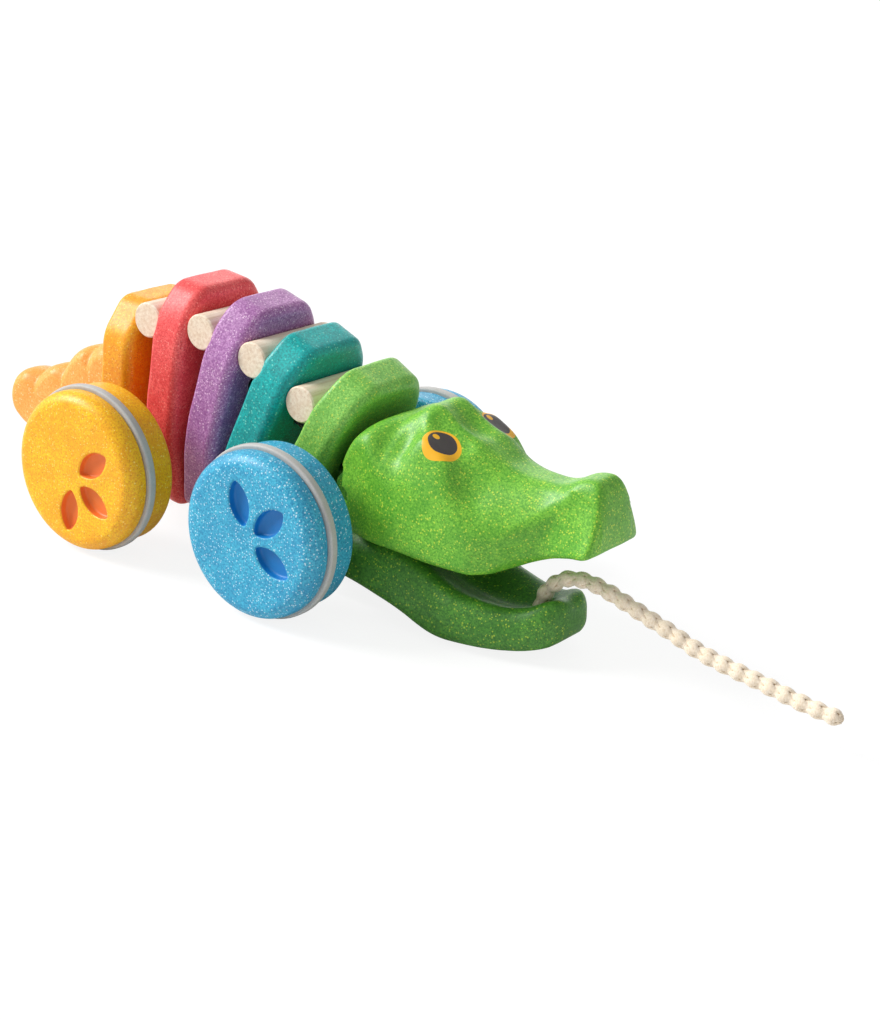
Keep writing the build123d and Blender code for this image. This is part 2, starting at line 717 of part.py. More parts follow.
def axle_sleeves(axle_x, block_half):
    """Two loose sleeves that keep the wheels off the block."""
    inner_y = WHEEL_OUTER_Y - WHEEL_T
    length = inner_y - block_half - 2 * SLEEVE_END_GAP
    for side in (-1, 1):
        with Locations(side_plane(axle_x, AXLE_Z, side * (inner_y + block_half) / 2)):
            Cylinder(SLEEVE_D / 2, length)
            Cylinder(SLEEVE_BORE_D / 2, length + 1, mode=Mode.SUBTRACT)


with BuildPart() as wheel_rear_right:
    wheel_body(0, -1, -95.0)
wheel_rear_right.part.label = "wheel_rear_right"

with BuildPart() as wheel_rear_left:
    wheel_body(0, 1, 40.0)
wheel_rear_left.part.label = "wheel_rear_left"

with BuildPart() as wheel_front_right:
    wheel_body(WHEELBASE, -1, -24.0)
wheel_front_right.part.label = "wheel_front_right"

with BuildPart() as wheel_front_left:
    wheel_body(WHEELBASE, 1, 100.0)
wheel_front_left.part.label = "wheel_front_left"

with BuildPart() as tyre_rear_right:
    tyre_ring(0, -1)
tyre_rear_right.part.label = "tyre_rear_right"

with BuildPart() as tyre_rear_left:
    tyre_ring(0, 1)
tyre_rear_left.part.label = "tyre_rear_left"

with BuildPart() as tyre_front_right:
    tyre_ring(WHEELBASE, -1)
tyre_front_right.part.label = "tyre_front_right"

with BuildPart() as tyre_front_left:
    tyre_ring(WHEELBASE, 1)
tyre_front_left.part.label = "tyre_front_left"

with BuildPart() as rear_axle:
    axle_rod(0)
rear_axle.part.label = "rear_axle"

with BuildPart() as front_axle:
    axle_rod(WHEELBASE)
front_axle.part.label = "front_axle"

with BuildPart() as rear_axle_sleeves:
    axle_sleeves(0, REAR_BLOCK_HALF)
rear_axle_sleeves.part.label = "rear_axle_sleeves"

with BuildPart() as front_axle_sleeves:
    axle_sleeves(WHEELBASE, JAW_HALF)
front_axle_sleeves.part.label = "front_axle_sleeves"

# ---------------------------------------------------------------- pull cord
with BuildPart() as cord_knot:
    with Locations(pt(CORD_X, KNOT_Z)):
        Sphere(KNOT_R)
    shaft_top = CORD_PIVOT_Z - CORD_D / 2 - 0.3
    with Locations(pt(CORD_X, (KNOT_Z + shaft_top) / 2)):
        Cylinder(CORD_D / 2, shaft_top - KNOT_Z)
cord_knot.part.label = "cord_knot"

with BuildPart() as pull_cord:
    with BuildLine() as cord_path:
        Spline(
            pt(CORD_X, CORD_PIVOT_Z),
            pt(157.4, 22.6),
            pt(162.1, 25.7),
            pt(169.3, 27.1),
            pt(176.7, 26.3),
            pt(187.7, 23.6),
            pt(198.7, 20.6),
            pt(209.4, 17.7),
            pt(219.8, 16.1),
            pt(229.9, 15.0),
            pt(240.0, 13.7),
            pt(248.0, 12.9),
            pt(257.0, 12.6),
        )
    with BuildSketch(Plane(origin=cord_path.line @ 0, z_dir=cord_path.line % 0)):
        Circle(CORD_D / 2)
    sweep()
    with Locations(pt(CORD_X, CORD_PIVOT_Z)):
        Sphere(CORD_D / 2)
pull_cord.part.label = "pull_cord"

# ---------------------------------------------------------------- files, one per piece
export_step(rear_axle_block.part, "parts/rear_axle_block.step")
export_step(plate_orange.part, "parts/plate_orange.step")
export_step(tail.part, "parts/tail.step")
export_step(tail_pegs.part, "parts/tail_pegs.step")
export_step(plate_red.part, "parts/plate_red.step")
export_step(plate_purple.part, "parts/plate_purple.step")
export_step(plate_teal.part, "parts/plate_teal.step")
export_step(dowel_1.part, "parts/dowel_1.step")
export_step(dowel_2.part, "parts/dowel_2.step")
export_step(dowel_3.part, "parts/dowel_3.step")
export_step(dowel_4.part, "parts/dowel_4.step")
export_step(elastic_link_1.part, "parts/elastic_link_1.step")
export_step(elastic_link_2.part, "parts/elastic_link_2.step")
export_step(elastic_link_3.part, "parts/elastic_link_3.step")
export_step(elastic_link_4.part, "parts/elastic_link_4.step")
export_step(plate_neck.part, "parts/plate_neck.step")
export_step(neck_pegs.part, "parts/neck_pegs.step")
export_step(neck_stop.part, "parts/neck_stop.step")
export_step(lower_jaw.part, "parts/lower_jaw.step")
export_step(head_pin.part, "parts/head_pin.step")
export_step(head.part, "parts/head.step")
export_step(wheel_rear_right.part, "parts/wheel_rear_right.step")
export_step(wheel_rear_left.part, "parts/wheel_rear_left.step")
export_step(wheel_front_right.part, "parts/wheel_front_right.step")
export_step(wheel_front_left.part, "parts/wheel_front_left.step")
export_step(tyre_rear_right.part, "parts/tyre_rear_right.step")
export_step(tyre_rear_left.part, "parts/tyre_rear_left.step")
export_step(tyre_front_right.part, "parts/tyre_front_right.step")
export_step(tyre_front_left.part, "parts/tyre_front_left.step")
export_step(rear_axle.part, "parts/rear_axle.step")
export_step(front_axle.part, "parts/front_axle.step")
export_step(rear_axle_sleeves.part, "parts/rear_axle_sleeves.step")
export_step(front_axle_sleeves.part, "parts/front_axle_sleeves.step")
export_step(cord_knot.part, "parts/cord_knot.step")
export_step(pull_cord.part, "parts/pull_cord.step")
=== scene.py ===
"""Looks for the pull-along crocodile: turned, sawn and sanded wood, rubber bands, braided cord.

Lengths in this script are millimetres in the part's frame and are turned into metres when a
mesh is made. Distances called x are measured forward from the rear axle, as in the CAD.
"""
import math

import bpy
import numpy as np
from mathutils import Matrix, Vector


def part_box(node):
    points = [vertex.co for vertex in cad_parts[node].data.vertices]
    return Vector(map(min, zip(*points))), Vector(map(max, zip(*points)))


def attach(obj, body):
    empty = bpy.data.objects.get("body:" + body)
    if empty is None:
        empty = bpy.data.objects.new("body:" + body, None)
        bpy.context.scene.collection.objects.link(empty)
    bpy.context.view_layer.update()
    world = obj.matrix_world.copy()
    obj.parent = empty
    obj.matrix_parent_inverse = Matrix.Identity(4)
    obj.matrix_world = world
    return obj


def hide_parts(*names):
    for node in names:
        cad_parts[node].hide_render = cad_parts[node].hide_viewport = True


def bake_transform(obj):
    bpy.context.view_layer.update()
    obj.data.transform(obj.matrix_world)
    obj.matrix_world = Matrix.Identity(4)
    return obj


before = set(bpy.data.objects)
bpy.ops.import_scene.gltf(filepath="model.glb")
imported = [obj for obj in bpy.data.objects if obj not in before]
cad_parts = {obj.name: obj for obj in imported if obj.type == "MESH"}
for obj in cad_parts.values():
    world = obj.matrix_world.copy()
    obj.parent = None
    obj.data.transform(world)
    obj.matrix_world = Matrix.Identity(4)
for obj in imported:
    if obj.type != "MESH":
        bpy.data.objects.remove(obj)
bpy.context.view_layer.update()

SEED = 7
FIELD_STEP = 0.62        # grid step of the carved pieces
WHEEL_STEP = 0.5         # and of the wheels, which have finer edges

REAR_X = -88.73          # rear axle in the part's frame
WHEELBASE = 76.5
AXLE_Z = 28.25
AXLE_BORE_R = 2.56       # the turning fit of a 5 mm rod in wood
ROD_R = 2.5

WHEEL_R = 27.0
WHEEL_OUT = 53.2         # outer and inner faces, from the middle of the toy
WHEEL_IN = 33.2
GROOVE_OUT = 45.6        # sides and depth of the rubber band's groove
GROOVE_IN = 42.5
GROOVE_R = 24.45
SOCKET_END = 47.0        # how deep the axle goes into a wheel

PLATE_T = 13.0
DOWEL_TIGHT_R = 6.02     # glued seat of a dowel, and the loose seat of the plate behind it
DOWEL_LOOSE_R = 6.08

LINK_DROP = 13.4         # from a dowel's middle down to the elastic cords
LINK_PAIR_Y = 6.7
LINK_HOLE_R = 1.8
KNOT_POCKET_R = 3.7
KNOT_POCKET_DEPTH = 4.2

EYE = (120.9, 15.2, 62.4)
CORD_HOLE_X = 152.6


# ------------------------------------------------------------------ meshes
def add_mesh(name, verts_mm, faces, material):
    """A mesh object from millimetre points in the part's frame."""
    mesh = bpy.data.meshes.new(name)
    points = (np.asarray(verts_mm, float) / 1000.0).tolist()
    mesh.from_pydata(points, [], [list(f) for f in faces])
    mesh.update()
    mesh.polygons.foreach_set("use_smooth", [True] * len(mesh.polygons))
    obj = bpy.data.objects.new(name, mesh)
    bpy.context.scene.collection.objects.link(obj)
    obj.data.materials.append(material)
    return obj


def surface_nets(field, origin, step):
    """Vertices and quads of the zero surface of a sampled field, negative inside."""
    inside = field < 0
    nx, ny, nz = field.shape
    cells = (nx - 1, ny - 1, nz - 1)
    total = np.zeros(cells + (3,))
    count = np.zeros(cells)
    corners = [(i, j, k) for i in (0, 1) for j in (0, 1) for k in (0, 1)]

    def part(a, c):
        return a[c[0]:c[0] + cells[0], c[1]:c[1] + cells[1], c[2]:c[2] + cells[2]]

    for c in corners:
        for axis in range(3):
            if c[axis]:
                continue
            e = list(c)
            e[axis] = 1
            fa, fb = part(field, c), part(field, e)
            cross = (fa < 0) != (fb < 0)
            t = np.where(cross, fa / np.where(cross, fa - fb, 1.0), 0.0)
            for m in range(3):
                at = c[m] + (t if m == axis else 0.0)
                total[..., m] += np.where(cross, at, 0.0)
            count += cross
    used = count > 0
    index = np.full(cells, -1)
    index[used] = np.arange(used.sum())
    where = np.argwhere(used)
    verts = origin + step * (where + total[used] / count[used][:, None])
    quads = []
    for axis in range(3):
        u, v = [m for m in range(3) if m != axis]
        lo = [slice(1, -1)] * 3
        lo[axis] = slice(0, -1)
        hi = [slice(1, -1)] * 3
        hi[axis] = slice(1, None)
        a, b = inside[tuple(lo)], inside[tuple(hi)]
        spots = np.argwhere(a != b)
        sign = a[a != b]
        for m in (u, v):
            spots[:, m] += 1
        ring = []
        for du, dv in ((-1, -1), (0, -1), (0, 0), (-1, 0)):
            s = spots.copy()
            s[:, u] += du
            s[:, v] += dv
            ring.append(index[s[:, 0], s[:, 1], s[:, 2]])
        ring = np.stack(ring, 1)
        flip = sign if axis != 1 else ~sign
        ring[~flip] = ring[~flip][:, ::-1]
        quads.append(ring)
    quads = np.concatenate(quads)
    return verts, quads[(quads >= 0).all(1)]


def sampled(fn, low, high, step):
    """Vertices and quads of a solid given as a signed field of (x, y, z) arrays."""
    axes = [np.arange(a - 2 * step, b + 2.5 * step, step) for a, b in zip(low, high)]
    grid = np.meshgrid(*axes, indexing="ij")
    verts, quads = surface_nets(fn(*grid), np.array([a[0] for a in axes]), step)
    for _ in range(3):
        d = fn(verts[:, 0], verts[:, 1], verts[:, 2])
        e = 0.05
        g = np.stack([fn(*(verts + e * np.eye(3)[m]).T) - fn(*(verts - e * np.eye(3)[m]).T)
                      for m in range(3)], 1)
        g /= 2 * e
        n2 = np.maximum((g * g).sum(1), 0.05)
        move = -g * (d / n2)[:, None]
        length = np.linalg.norm(move, axis=1)
        move *= np.minimum(1.0, 0.5 * step / np.maximum(length, 1e-9))[:, None]
        verts = verts + move
    return verts, quads


def smooth_max(a, b, k):
    """The larger of two fields with a rounding of size k where they meet."""
    h = np.maximum(k - np.abs(a - b), 0.0) / k
    return np.maximum(a, b) + h * h * k * 0.25


def spline(points, per=12, closed=False):
    """A Catmull-Rom curve through 2-D or 3-D points."""
    p = np.asarray(points, float)
    n = len(p)
    out = []
    last = n if closed else n - 1
    for i in range(last):
        if closed:
            a, b, c, d = p[(i - 1) % n], p[i], p[(i + 1) % n], p[(i + 2) % n]
        else:
            a, b, c, d = p[max(i - 1, 0)], p[i], p[i + 1], p[min(i + 2, n - 1)]
        for t in np.arange(per) / per:
            out.append(0.5 * (2 * b + (c - a) * t + (2 * a - 5 * b + 4 * c - d) * t ** 2
                              + (3 * b - a - 3 * c + d) * t ** 3))
    if not closed:
        out.append(p[-1])
    return np.array(out)


def polygon_distance(px, py, poly):
    """Signed distance of points to a closed outline, negative inside."""
    px, py = np.asarray(px, float), np.asarray(py, float)
    shape = px.shape
    px, py = px.ravel(), py.ravel()
    best = np.full(px.shape, 1e9)
    inside = np.zeros(px.shape, bool)
    for (x0, y0), (x1, y1) in zip(poly, np.roll(poly, -1, 0)):
        ex, ey = x1 - x0, y1 - y0
        wx, wy = px - x0, py - y0
        t = np.clip((wx * ex + wy * ey) / max(ex * ex + ey * ey, 1e-12), 0, 1)
        best = np.minimum(best, (wx - ex * t) ** 2 + (wy - ey * t) ** 2)
        crossing = (y0 > py) != (y1 > py)
        if crossing.any():
            xi = x0 + (py - y0) / (ey if abs(ey) > 1e-12 else 1e-12) * ex
            inside ^= crossing & (px < xi)
    d = np.sqrt(best)
    return np.where(inside, -d, d).reshape(shape)


def flat_table(poly, margin, step=0.4):
    """A lookup of an outline's signed distance, read by straight-line interpolation."""
    low = poly.min(0) - margin
    high = poly.max(0) + margin
    ax = np.arange(low[0], high[0] + step, step)
    ay = np.arange(low[1], high[1] + step, step)
    gx, gy = np.meshgrid(ax, ay, indexing="ij")
    d = polygon_distance(gx, gy, poly)

    def read(x, y):
        return grid_read(d, (x - low[0]) / step, (y - low[1]) / step)

    return read


def grid_read(d, u, v):
    """Value of a 2-D grid between its samples."""
    u = np.clip(u, 0, d.shape[0] - 1.001)
    v = np.clip(v, 0, d.shape[1] - 1.001)
    i, j = u.astype(int), v.astype(int)
    fu, fv = u - i, v - j
    return (d[i, j] * (1 - fu) * (1 - fv) + d[i + 1, j] * fu * (1 - fv)
            + d[i, j + 1] * (1 - fu) * fv + d[i + 1, j + 1] * fu * fv)


# ------------------------------------------------------------------ materials
def rgb(r, g, b):
    """Linear colour from 8-bit display values."""
    out = []
    for c in (r, g, b):
        c = c / 255.0
        out.append(c / 12.92 if c <= 0.04045 else ((c + 0.055) / 1.055) ** 2.4)
    return tuple(out) + (1.0,)


class Nodes:
    """Short names for building a node material."""

    def __init__(self, name):
        self.mat = bpy.data.materials.new(name)
        self.mat.use_nodes = True
        self.tree = self.mat.node_tree
        self.tree.nodes.clear()
        self.out = self.tree.nodes.new("ShaderNodeOutputMaterial")
        self.bsdf = self.tree.nodes.new("ShaderNodeBsdfPrincipled")
        self.link(self.bsdf.outputs[0], self.out.inputs["Surface"])
        self.coord = self.tree.nodes.new("ShaderNodeTexCoord").outputs["Object"]

    def link(self, a, b):
        self.tree.links.new(a, b)

    def put(self, socket, value):
        if hasattr(value, "is_linked") or hasattr(value, "links"):
            self.link(value, socket)
        else:
            socket.default_value = value

    def math(self, op, a, b=0.0):
        n = self.tree.nodes.new("ShaderNodeMath")
        n.operation = op
        self.put(n.inputs[0], a)
        self.put(n.inputs[1], b)
        return n.outputs[0]

    def madd(self, a, b, c):
        """a times b plus c."""
        n = self.tree.nodes.new("ShaderNodeMath")
        n.operation = "MULTIPLY_ADD"
        for socket, value in zip(n.inputs, (a, b, c)):
            self.put(socket, value)
        return n.outputs[0]

    def noise(self, scale, detail=2.0, rough=0.5, vector=None):
        n = self.tree.nodes.new("ShaderNodeTexNoise")
        n.inputs["Scale"].default_value = scale
        n.inputs["Detail"].default_value = detail
        n.inputs["Roughness"].default_value = rough
        self.link(vector or self.coord, n.inputs["Vector"])
        return n.outputs["Fac"]

    def cells(self, scale):
        """Distance to the nearest speck and two random values for each speck."""
        n = self.tree.nodes.new("ShaderNodeTexVoronoi")
        n.inputs["Scale"].default_value = scale
        self.link(self.coord, n.inputs["Vector"])
        s = self.tree.nodes.new("ShaderNodeSeparateColor")
        self.link(n.outputs["Color"], s.inputs[0])
        return n.outputs["Distance"], s.outputs[0], s.outputs[1]

    def stretch(self, scale):
        """Object coordinates scaled on each axis, for grain and fibres."""
        n = self.tree.nodes.new("ShaderNodeMapping")
        n.inputs["Scale"].default_value = scale
        self.link(self.coord, n.inputs["Vector"])
        return n.outputs[0]

    def ramp(self, fac, low, high):
        """0 below low, 1 above high, straight between."""
        n = self.tree.nodes.new("ShaderNodeMapRange")
        n.inputs["From Min"].default_value = low
        n.inputs["From Max"].default_value = high
        self.link(fac, n.inputs["Value"])
        return n.outputs[0]

    def mix(self, fac, a, b):
        n = self.tree.nodes.new("ShaderNodeMix")
        n.data_type = "RGBA"
        self.put(n.inputs[0], fac)
        self.put(n.inputs[6], a)
        self.put(n.inputs[7], b)
        return n.outputs[2]

    def xyz(self):
        n = self.tree.nodes.new("ShaderNodeSeparateXYZ")
        self.link(self.coord, n.inputs[0])
        return n.outputs[0], n.outputs[1], n.outputs[2]

    def bump(self, height, strength, distance):
        n = self.tree.nodes.new("ShaderNodeBump")
        n.inputs["Strength"].default_value = strength
        n.inputs["Distance"].default_value = distance
        self.link(height, n.inputs["Height"])
        self.link(n.outputs[0], self.bsdf.inputs["Normal"])

    def finish(self, color, roughness, coat=0.0, coat_rough=0.3, sheen=0.0, spec=0.5):
        self.put(self.bsdf.inputs["Base Color"], color)
        self.put(self.bsdf.inputs["Roughness"], roughness)
        self.bsdf.inputs["Coat Weight"].default_value = coat
        self.bsdf.inputs["Coat Roughness"].default_value = coat_rough
        self.bsdf.inputs["Sheen Weight"].default_value = sheen
        self.bsdf.inputs["Specular IOR Level"].default_value = spec
        return self.mat


def painted(name, base, deep, fleck, amount=0.5, petal=None, eyes=False):
    """Stained pressed wood: mottled, full of fine dark and light flecks, under a satin coat."""
    m = Nodes(name)
    cloud = m.ramp(m.noise(110, 3, 0.6), 0.40, 0.64)
    fine = m.ramp(m.noise(1500, 2, 0.6), 0.40, 0.60)
    color = m.mix(m.math("MULTIPLY", fine, 0.75), base, deep)
    color = m.mix(m.math("MULTIPLY", cloud, 0.42), color, deep)
    dist, pick, size = m.cells(1250)
    near = m.math("LESS_THAN", dist, m.madd(size, 0.26, 0.14))
    chosen = m.math("GREATER_THAN", pick, 1.0 - amount * 0.7)
    spots = m.math("MULTIPLY", near, chosen)
    color = m.mix(m.math("MULTIPLY", spots, 0.72), color, fleck)
    dist, pick, _ = m.cells(1700)
    near = m.math("LESS_THAN", dist, 0.34)
    dark = m.math("MULTIPLY", near, m.math("GREATER_THAN", pick, 0.62))
    grit = tuple(0.55 * c for c in deep[:3]) + (1.0,)
    color = m.mix(m.math("MULTIPLY", dark, 0.42), color, grit)
    if petal:
        color = m.mix(petal_mask(m), color, petal)
    if eyes:
        color = eye_paint(m, color)
    rough = m.madd(m.noise(700, 2), 0.22, 0.36)
    height = m.math("ADD", m.noise(900, 3, 0.6), m.math("MULTIPLY", m.noise(160, 2), 1.2))
    m.bump(height, 0.32, 0.00016)
    return m.finish(color, rough, coat=0.17, coat_rough=0.40, spec=0.38)


def petal_mask(m):
    """1 inside the petal hollows of a wheel's outer face."""
    x, y, z = m.xyz()
    below = m.math("LESS_THAN", m.math("ABSOLUTE", y), (WHEEL_OUT - 0.35) / 1000)
    upper = m.math("GREATER_THAN", m.math("ABSOLUTE", y), (WHEEL_OUT - 3.6) / 1000)
    dz = m.math("SUBTRACT", z, AXLE_Z / 1000)
    r = None
    for centre in (REAR_X, REAR_X + WHEELBASE):
        dx = m.math("SUBTRACT", x, centre / 1000)
        d = m.math("SQRT", m.math("ADD", m.math("MULTIPLY", dx, dx),
                                  m.math("MULTIPLY", dz, dz)))
        r = d if r is None else m.math("MINIMUM", r, d)
    close = m.math("LESS_THAN", r, 0.0205)
    return m.math("MULTIPLY", m.math("MULTIPLY", below, upper), close)


def eye_paint(m, color):
    """Orange ring, dark pupil and a small orange glint on each brow."""
    x, y, z = m.xyz()
    side = m.math("ABSOLUTE", y)
    dx = m.math("MULTIPLY", m.math("SUBTRACT", x, (REAR_X + EYE[0]) / 1000), 1000.0)
    dy = m.math("MULTIPLY", m.math("SUBTRACT", side, EYE[1] / 1000), 1000.0)
    dz = m.math("MULTIPLY", m.math("SUBTRACT", z, EYE[2] / 1000), 1000.0)

    def along(a, b, c):
        flat = m.math("ADD", m.math("MULTIPLY", dx, a), m.math("MULTIPLY", dy, b))
        return m.math("ADD", flat, m.math("MULTIPLY", dz, c))

    u = along(0.92, 0.0, -0.40)
    v = along(0.03, -0.997, 0.07)
    n = along(0.40, 0.08, 0.91)
    shallow = m.math("LESS_THAN", m.math("ABSOLUTE", n), 7.0)

    def oval(cu, cv, ru, rv):
        a = m.math("DIVIDE", m.math("SUBTRACT", u, cu), ru)
        b = m.math("DIVIDE", m.math("SUBTRACT", v, cv), rv)
        s = m.math("ADD", m.math("MULTIPLY", a, a), m.math("MULTIPLY", b, b))
        return m.math("MULTIPLY", m.math("LESS_THAN", s, 1.0), shallow)

    ring = oval(0.0, 0.0, 6.5, 6.0)
    pupil = oval(-0.5, 0.7, 5.0, 4.6)
    glint = oval(-3.6, 1.0, 1.25, 1.1)
    orange = rgb(244, 180, 30)
    color = m.mix(ring, color, orange)
    color = m.mix(pupil, color, rgb(66, 60, 60))
    return m.mix(glint, color, orange)


def bare_wood(name):
    """Plain sanded dowel wood: straight grain along the rod and pores on its ends."""
    m = Nodes(name)
    along_rod = m.stretch((900, 40, 900))
    grain = m.noise(1.0, 4, 0.6, along_rod)
    rings = m.noise(260, 2, 0.5)
    streak = m.ramp(grain, 0.35, 0.68)
    color = m.mix(streak, rgb(244, 230, 210), rgb(222, 198, 172))
    color = m.mix(m.math("MULTIPLY", m.ramp(rings, 0.4, 0.7), 0.3), color,
                  rgb(222, 192, 160))
    dist, pick, _ = m.cells(1500)
    pores = m.math("MULTIPLY", m.math("LESS_THAN", dist, 0.25),
                   m.math("GREATER_THAN", pick, 0.6))
    color = m.mix(m.math("MULTIPLY", pores, 0.35), color, rgb(176, 138, 104))
    m.bump(m.math("ADD", grain, m.math("MULTIPLY", m.noise(1200, 2), 0.5)), 0.35, 0.00015)
    return m.finish(color, 0.62, spec=0.3)


def rubber(name, color):
    """Matt grey rubber with a little dust and fine moulding grain."""
    m = Nodes(name)
    dust = m.ramp(m.noise(220, 3), 0.45, 0.75)
    c = m.mix(m.math("MULTIPLY", dust, 0.35), color, rgb(205, 208, 208))
    c = m.mix(m.math("MULTIPLY", m.ramp(m.noise(2200, 1), 0.4, 0.7), 0.25), c,
              rgb(140, 148, 152))
    m.bump(m.noise(1800, 2), 0.25, 0.0001)
    return m.finish(c, 0.58, spec=0.35)


def steel(name):
    """Drawn rod with fine lines along it."""
    m = Nodes(name)
    lines = m.noise(1.0, 3, 0.6, m.stretch((4000, 60, 4000)))
    c = m.mix(m.ramp(lines, 0.3, 0.7), rgb(190, 192, 196), rgb(140, 143, 148))
    m.bump(lines, 0.2, 0.00005)
    m.bsdf.inputs["Metallic"].default_value = 1.0
    return m.finish(c, 0.32)


def plastic(name, color):
    m = Nodes(name)
    c = m.mix(m.math("MULTIPLY", m.ramp(m.noise(300, 3), 0.4, 0.7), 0.3), color,
              rgb(200, 200, 196))
    m.bump(m.noise(1500, 2), 0.15, 0.0001)
    return m.finish(c, 0.45)


def cord_fibre(name, light, dark, dust, crease_shade):
    """Yarn: fuzzy, with painted shade deep between the strands."""
    m = Nodes(name)
    strand = m.noise(1.0, 4, 0.7, m.stretch((2600, 2600, 900)))
    c = m.mix(m.ramp(strand, 0.32, 0.68), light, dark)
    c = m.mix(m.math("MULTIPLY", m.ramp(m.noise(400, 2), 0.45, 0.7), 0.25), c, dust)
    # painted shade: an occlusion node darkens the yarn towards the crease colour in the gaps
    # between strands
    hollow = m.tree.nodes.new("ShaderNodeAmbientOcclusion")
    hollow.inputs["Distance"].default_value = 0.0009
    hollow.samples = 6
    c = m.mix(m.ramp(hollow.outputs["AO"], 0.25, 0.85), crease_shade, c)
    m.bump(strand, 0.6, 0.0002)
    return m.finish(c, 0.9, sheen=0.35, spec=0.15)


# ------------------------------------------------------------------ solids as signed fields
def rounded(a, b, r):
    """Both a and b, with their meeting edge rounded to radius r."""
    corner = np.hypot(np.maximum(a + r, 0), np.maximum(b + r, 0))
    return corner + np.minimum(np.maximum(a, b) + r, 0) - r


def carve(a, b, r=0.4):
    """a without b, the new edge broken by r."""
    return rounded(a, -b, r)


def join(a, b, r=0.6):
    """a with b, the inside corner softened by r."""
    return -rounded(-a, -b, r)


def curve(points, per=16):
    """A smooth function of x through (x, value) points."""
    dense = spline(points, per)
    order = np.argsort(dense[:, 0], kind="stable")
    xs, vs = dense[order, 0], dense[order, 1]
    return lambda x: np.interp(x, xs, vs)


def hand_sanded(X, y, z, amount=0.09):
    """The slight waviness of wood rounded over by hand."""
    return amount * (np.sin(X * 0.31 + 1.3 * np.sin(y * 0.17)) * np.sin(z * 0.27 + 0.8)
                     + 0.6 * np.sin(y * 0.43 + z * 0.21 + 0.5 * np.sin(X * 0.4)))


def leaning(x, z, top, tilt):
    """(up the plate, ahead of its mid-plane) from x and z."""
    a = math.radians(tilt)
    dx, dz = x - top[0], z - top[1]
    return dx * math.sin(a) + dz * math.cos(a), dx * math.cos(a) - dz * math.sin(a)


ORANGE = ((-12.4, 78.4), 1.0, 62.0)
RED = ((12.3, 88.6), 5.2, 80.0)
PURPLE = ((37.9, 86.8), 14.0, 80.0)
TEAL = ((60.7, 79.7), 21.5, 76.0)
NECK = ((85.8, 73.4), 25.4, 70.0)
PLATES = (ORANGE, RED, PURPLE, TEAL, NECK)
DOWELS = ((-0.7, 74.3), (23.1, 75.7), (45.6, 71.6), (66.8, 62.0))
LINK_Y = (0.0, LINK_PAIR_Y, 0.0, LINK_PAIR_Y)


def link_line(n):
    """Middle (x, z), unit direction and the places along it of both outer plate faces."""
    back, front = PLATES[n], PLATES[n + 1]
    lean = math.radians((back[1] + front[1]) / 2)
    mid = (DOWELS[n][0] - LINK_DROP * math.sin(lean), DOWELS[n][1] - LINK_DROP * math.cos(lean))
    d = (math.cos(lean), -math.sin(lean))
    ends = []
    for plate, side in ((back, -1), (front, 1)):
        b = math.radians(plate[1])
        normal = (math.cos(b), -math.sin(b))
        gap = ((plate[0][0] - mid[0]) * normal[0] + (plate[0][1] - mid[1]) * normal[1]
               + side * PLATE_T / 2)
        ends.append(gap / (d[0] * normal[0] + d[1] * normal[1]))
    return mid, d, ends


def link_holes(f, x, y, z, n, far_end):
    """Cut a link's cord holes and knot pockets into the plate at its rear (0) or front (1) end."""
    mid, d, ends = link_line(n)
    along = (x - mid[0]) * d[0] + (z - mid[1]) * d[1]
    across = (x - mid[0]) * -d[1] + (z - mid[1]) * d[0]
    r = np.hypot(across, np.abs(y) - LINK_Y[n])
    f = carve(f, r - LINK_HOLE_R, 0.3)
    face = ends[far_end]
    depth = (face - along) if far_end else (along - face)
    return carve(f, np.maximum(r - KNOT_POCKET_R, depth - KNOT_POCKET_DEPTH), 0.4)


def softened(points, radii, per=10):
    """A convex outline with an arc of its own radius at each corner."""
    p = np.asarray(points, float)
    out = []
    for i, r in enumerate(radii):
        a, b, c = p[i - 1], p[i], p[(i + 1) % len(p)]
        d1, d2 = (a - b) / np.linalg.norm(a - b), (c - b) / np.linalg.norm(c - b)
        half = math.acos(float(np.clip(d1 @ d2, -1, 1))) / 2
        middle = (d1 + d2) / np.linalg.norm(d1 + d2)
        centre = b + middle * r / math.sin(half)
        t1 = b + d1 * r / math.tan(half) - centre
        t2 = b + d2 * r / math.tan(half) - centre
        for q in np.linspace(0, 1, per):
            v = t1 * (1 - q) + t2 * q
            out.append(centre + v * r / np.linalg.norm(v))
    return np.array(out)


CROWN_Y = 12.75          # half widths of a plate at its top, its flanks and a full-length foot
FLANK_Y = 21.8
FOOT_Y = 12.45
SHOULDER_DOWN = 12.0     # down the plate, where the flanks start and end
FLANK_DOWN = 50.0
FOOT_DOWN = 30.5         # from the flanks' end to the foot of a full-length plate
FOOT_R = 6.0
EDGE_FRONT_R = 3.6       # the front edge of a plate is rounded more than its back edge
EDGE_BACK_R = 1.5


def plate_field(spec, crown, shoulder, flank):
    """A leaning plate; the radii round its top corners, its shoulders and the flanks' ends."""
    top, tilt, depth = spec
    share = (depth - FLANK_DOWN) / FOOT_DOWN
    foot = FLANK_Y + (FOOT_Y - FLANK_Y) * share
    half = [(CROWN_Y, 0), (FLANK_Y, -SHOULDER_DOWN), (FLANK_Y, -FLANK_DOWN), (foot, -depth)]
    outline = [(-CROWN_Y, 0)] + half + [(-y, v) for y, v in half[:0:-1]]
    radii = [crown, crown, shoulder, flank, FOOT_R, FOOT_R, flank, shoulder]
    read = flat_table(softened(outline, radii), 8.0)

    def fn(X, y, z):
        x = X - REAR_X
        v, w = leaning(x, z, top, tilt)
        d2 = read(y, v)
        f = rounded(d2, w - PLATE_T / 2, EDGE_FRONT_R)
        f = rounded(f, -w - PLATE_T / 2, EDGE_BACK_R)
        return f + hand_sanded(X, y, z, 0.07)

    return fn


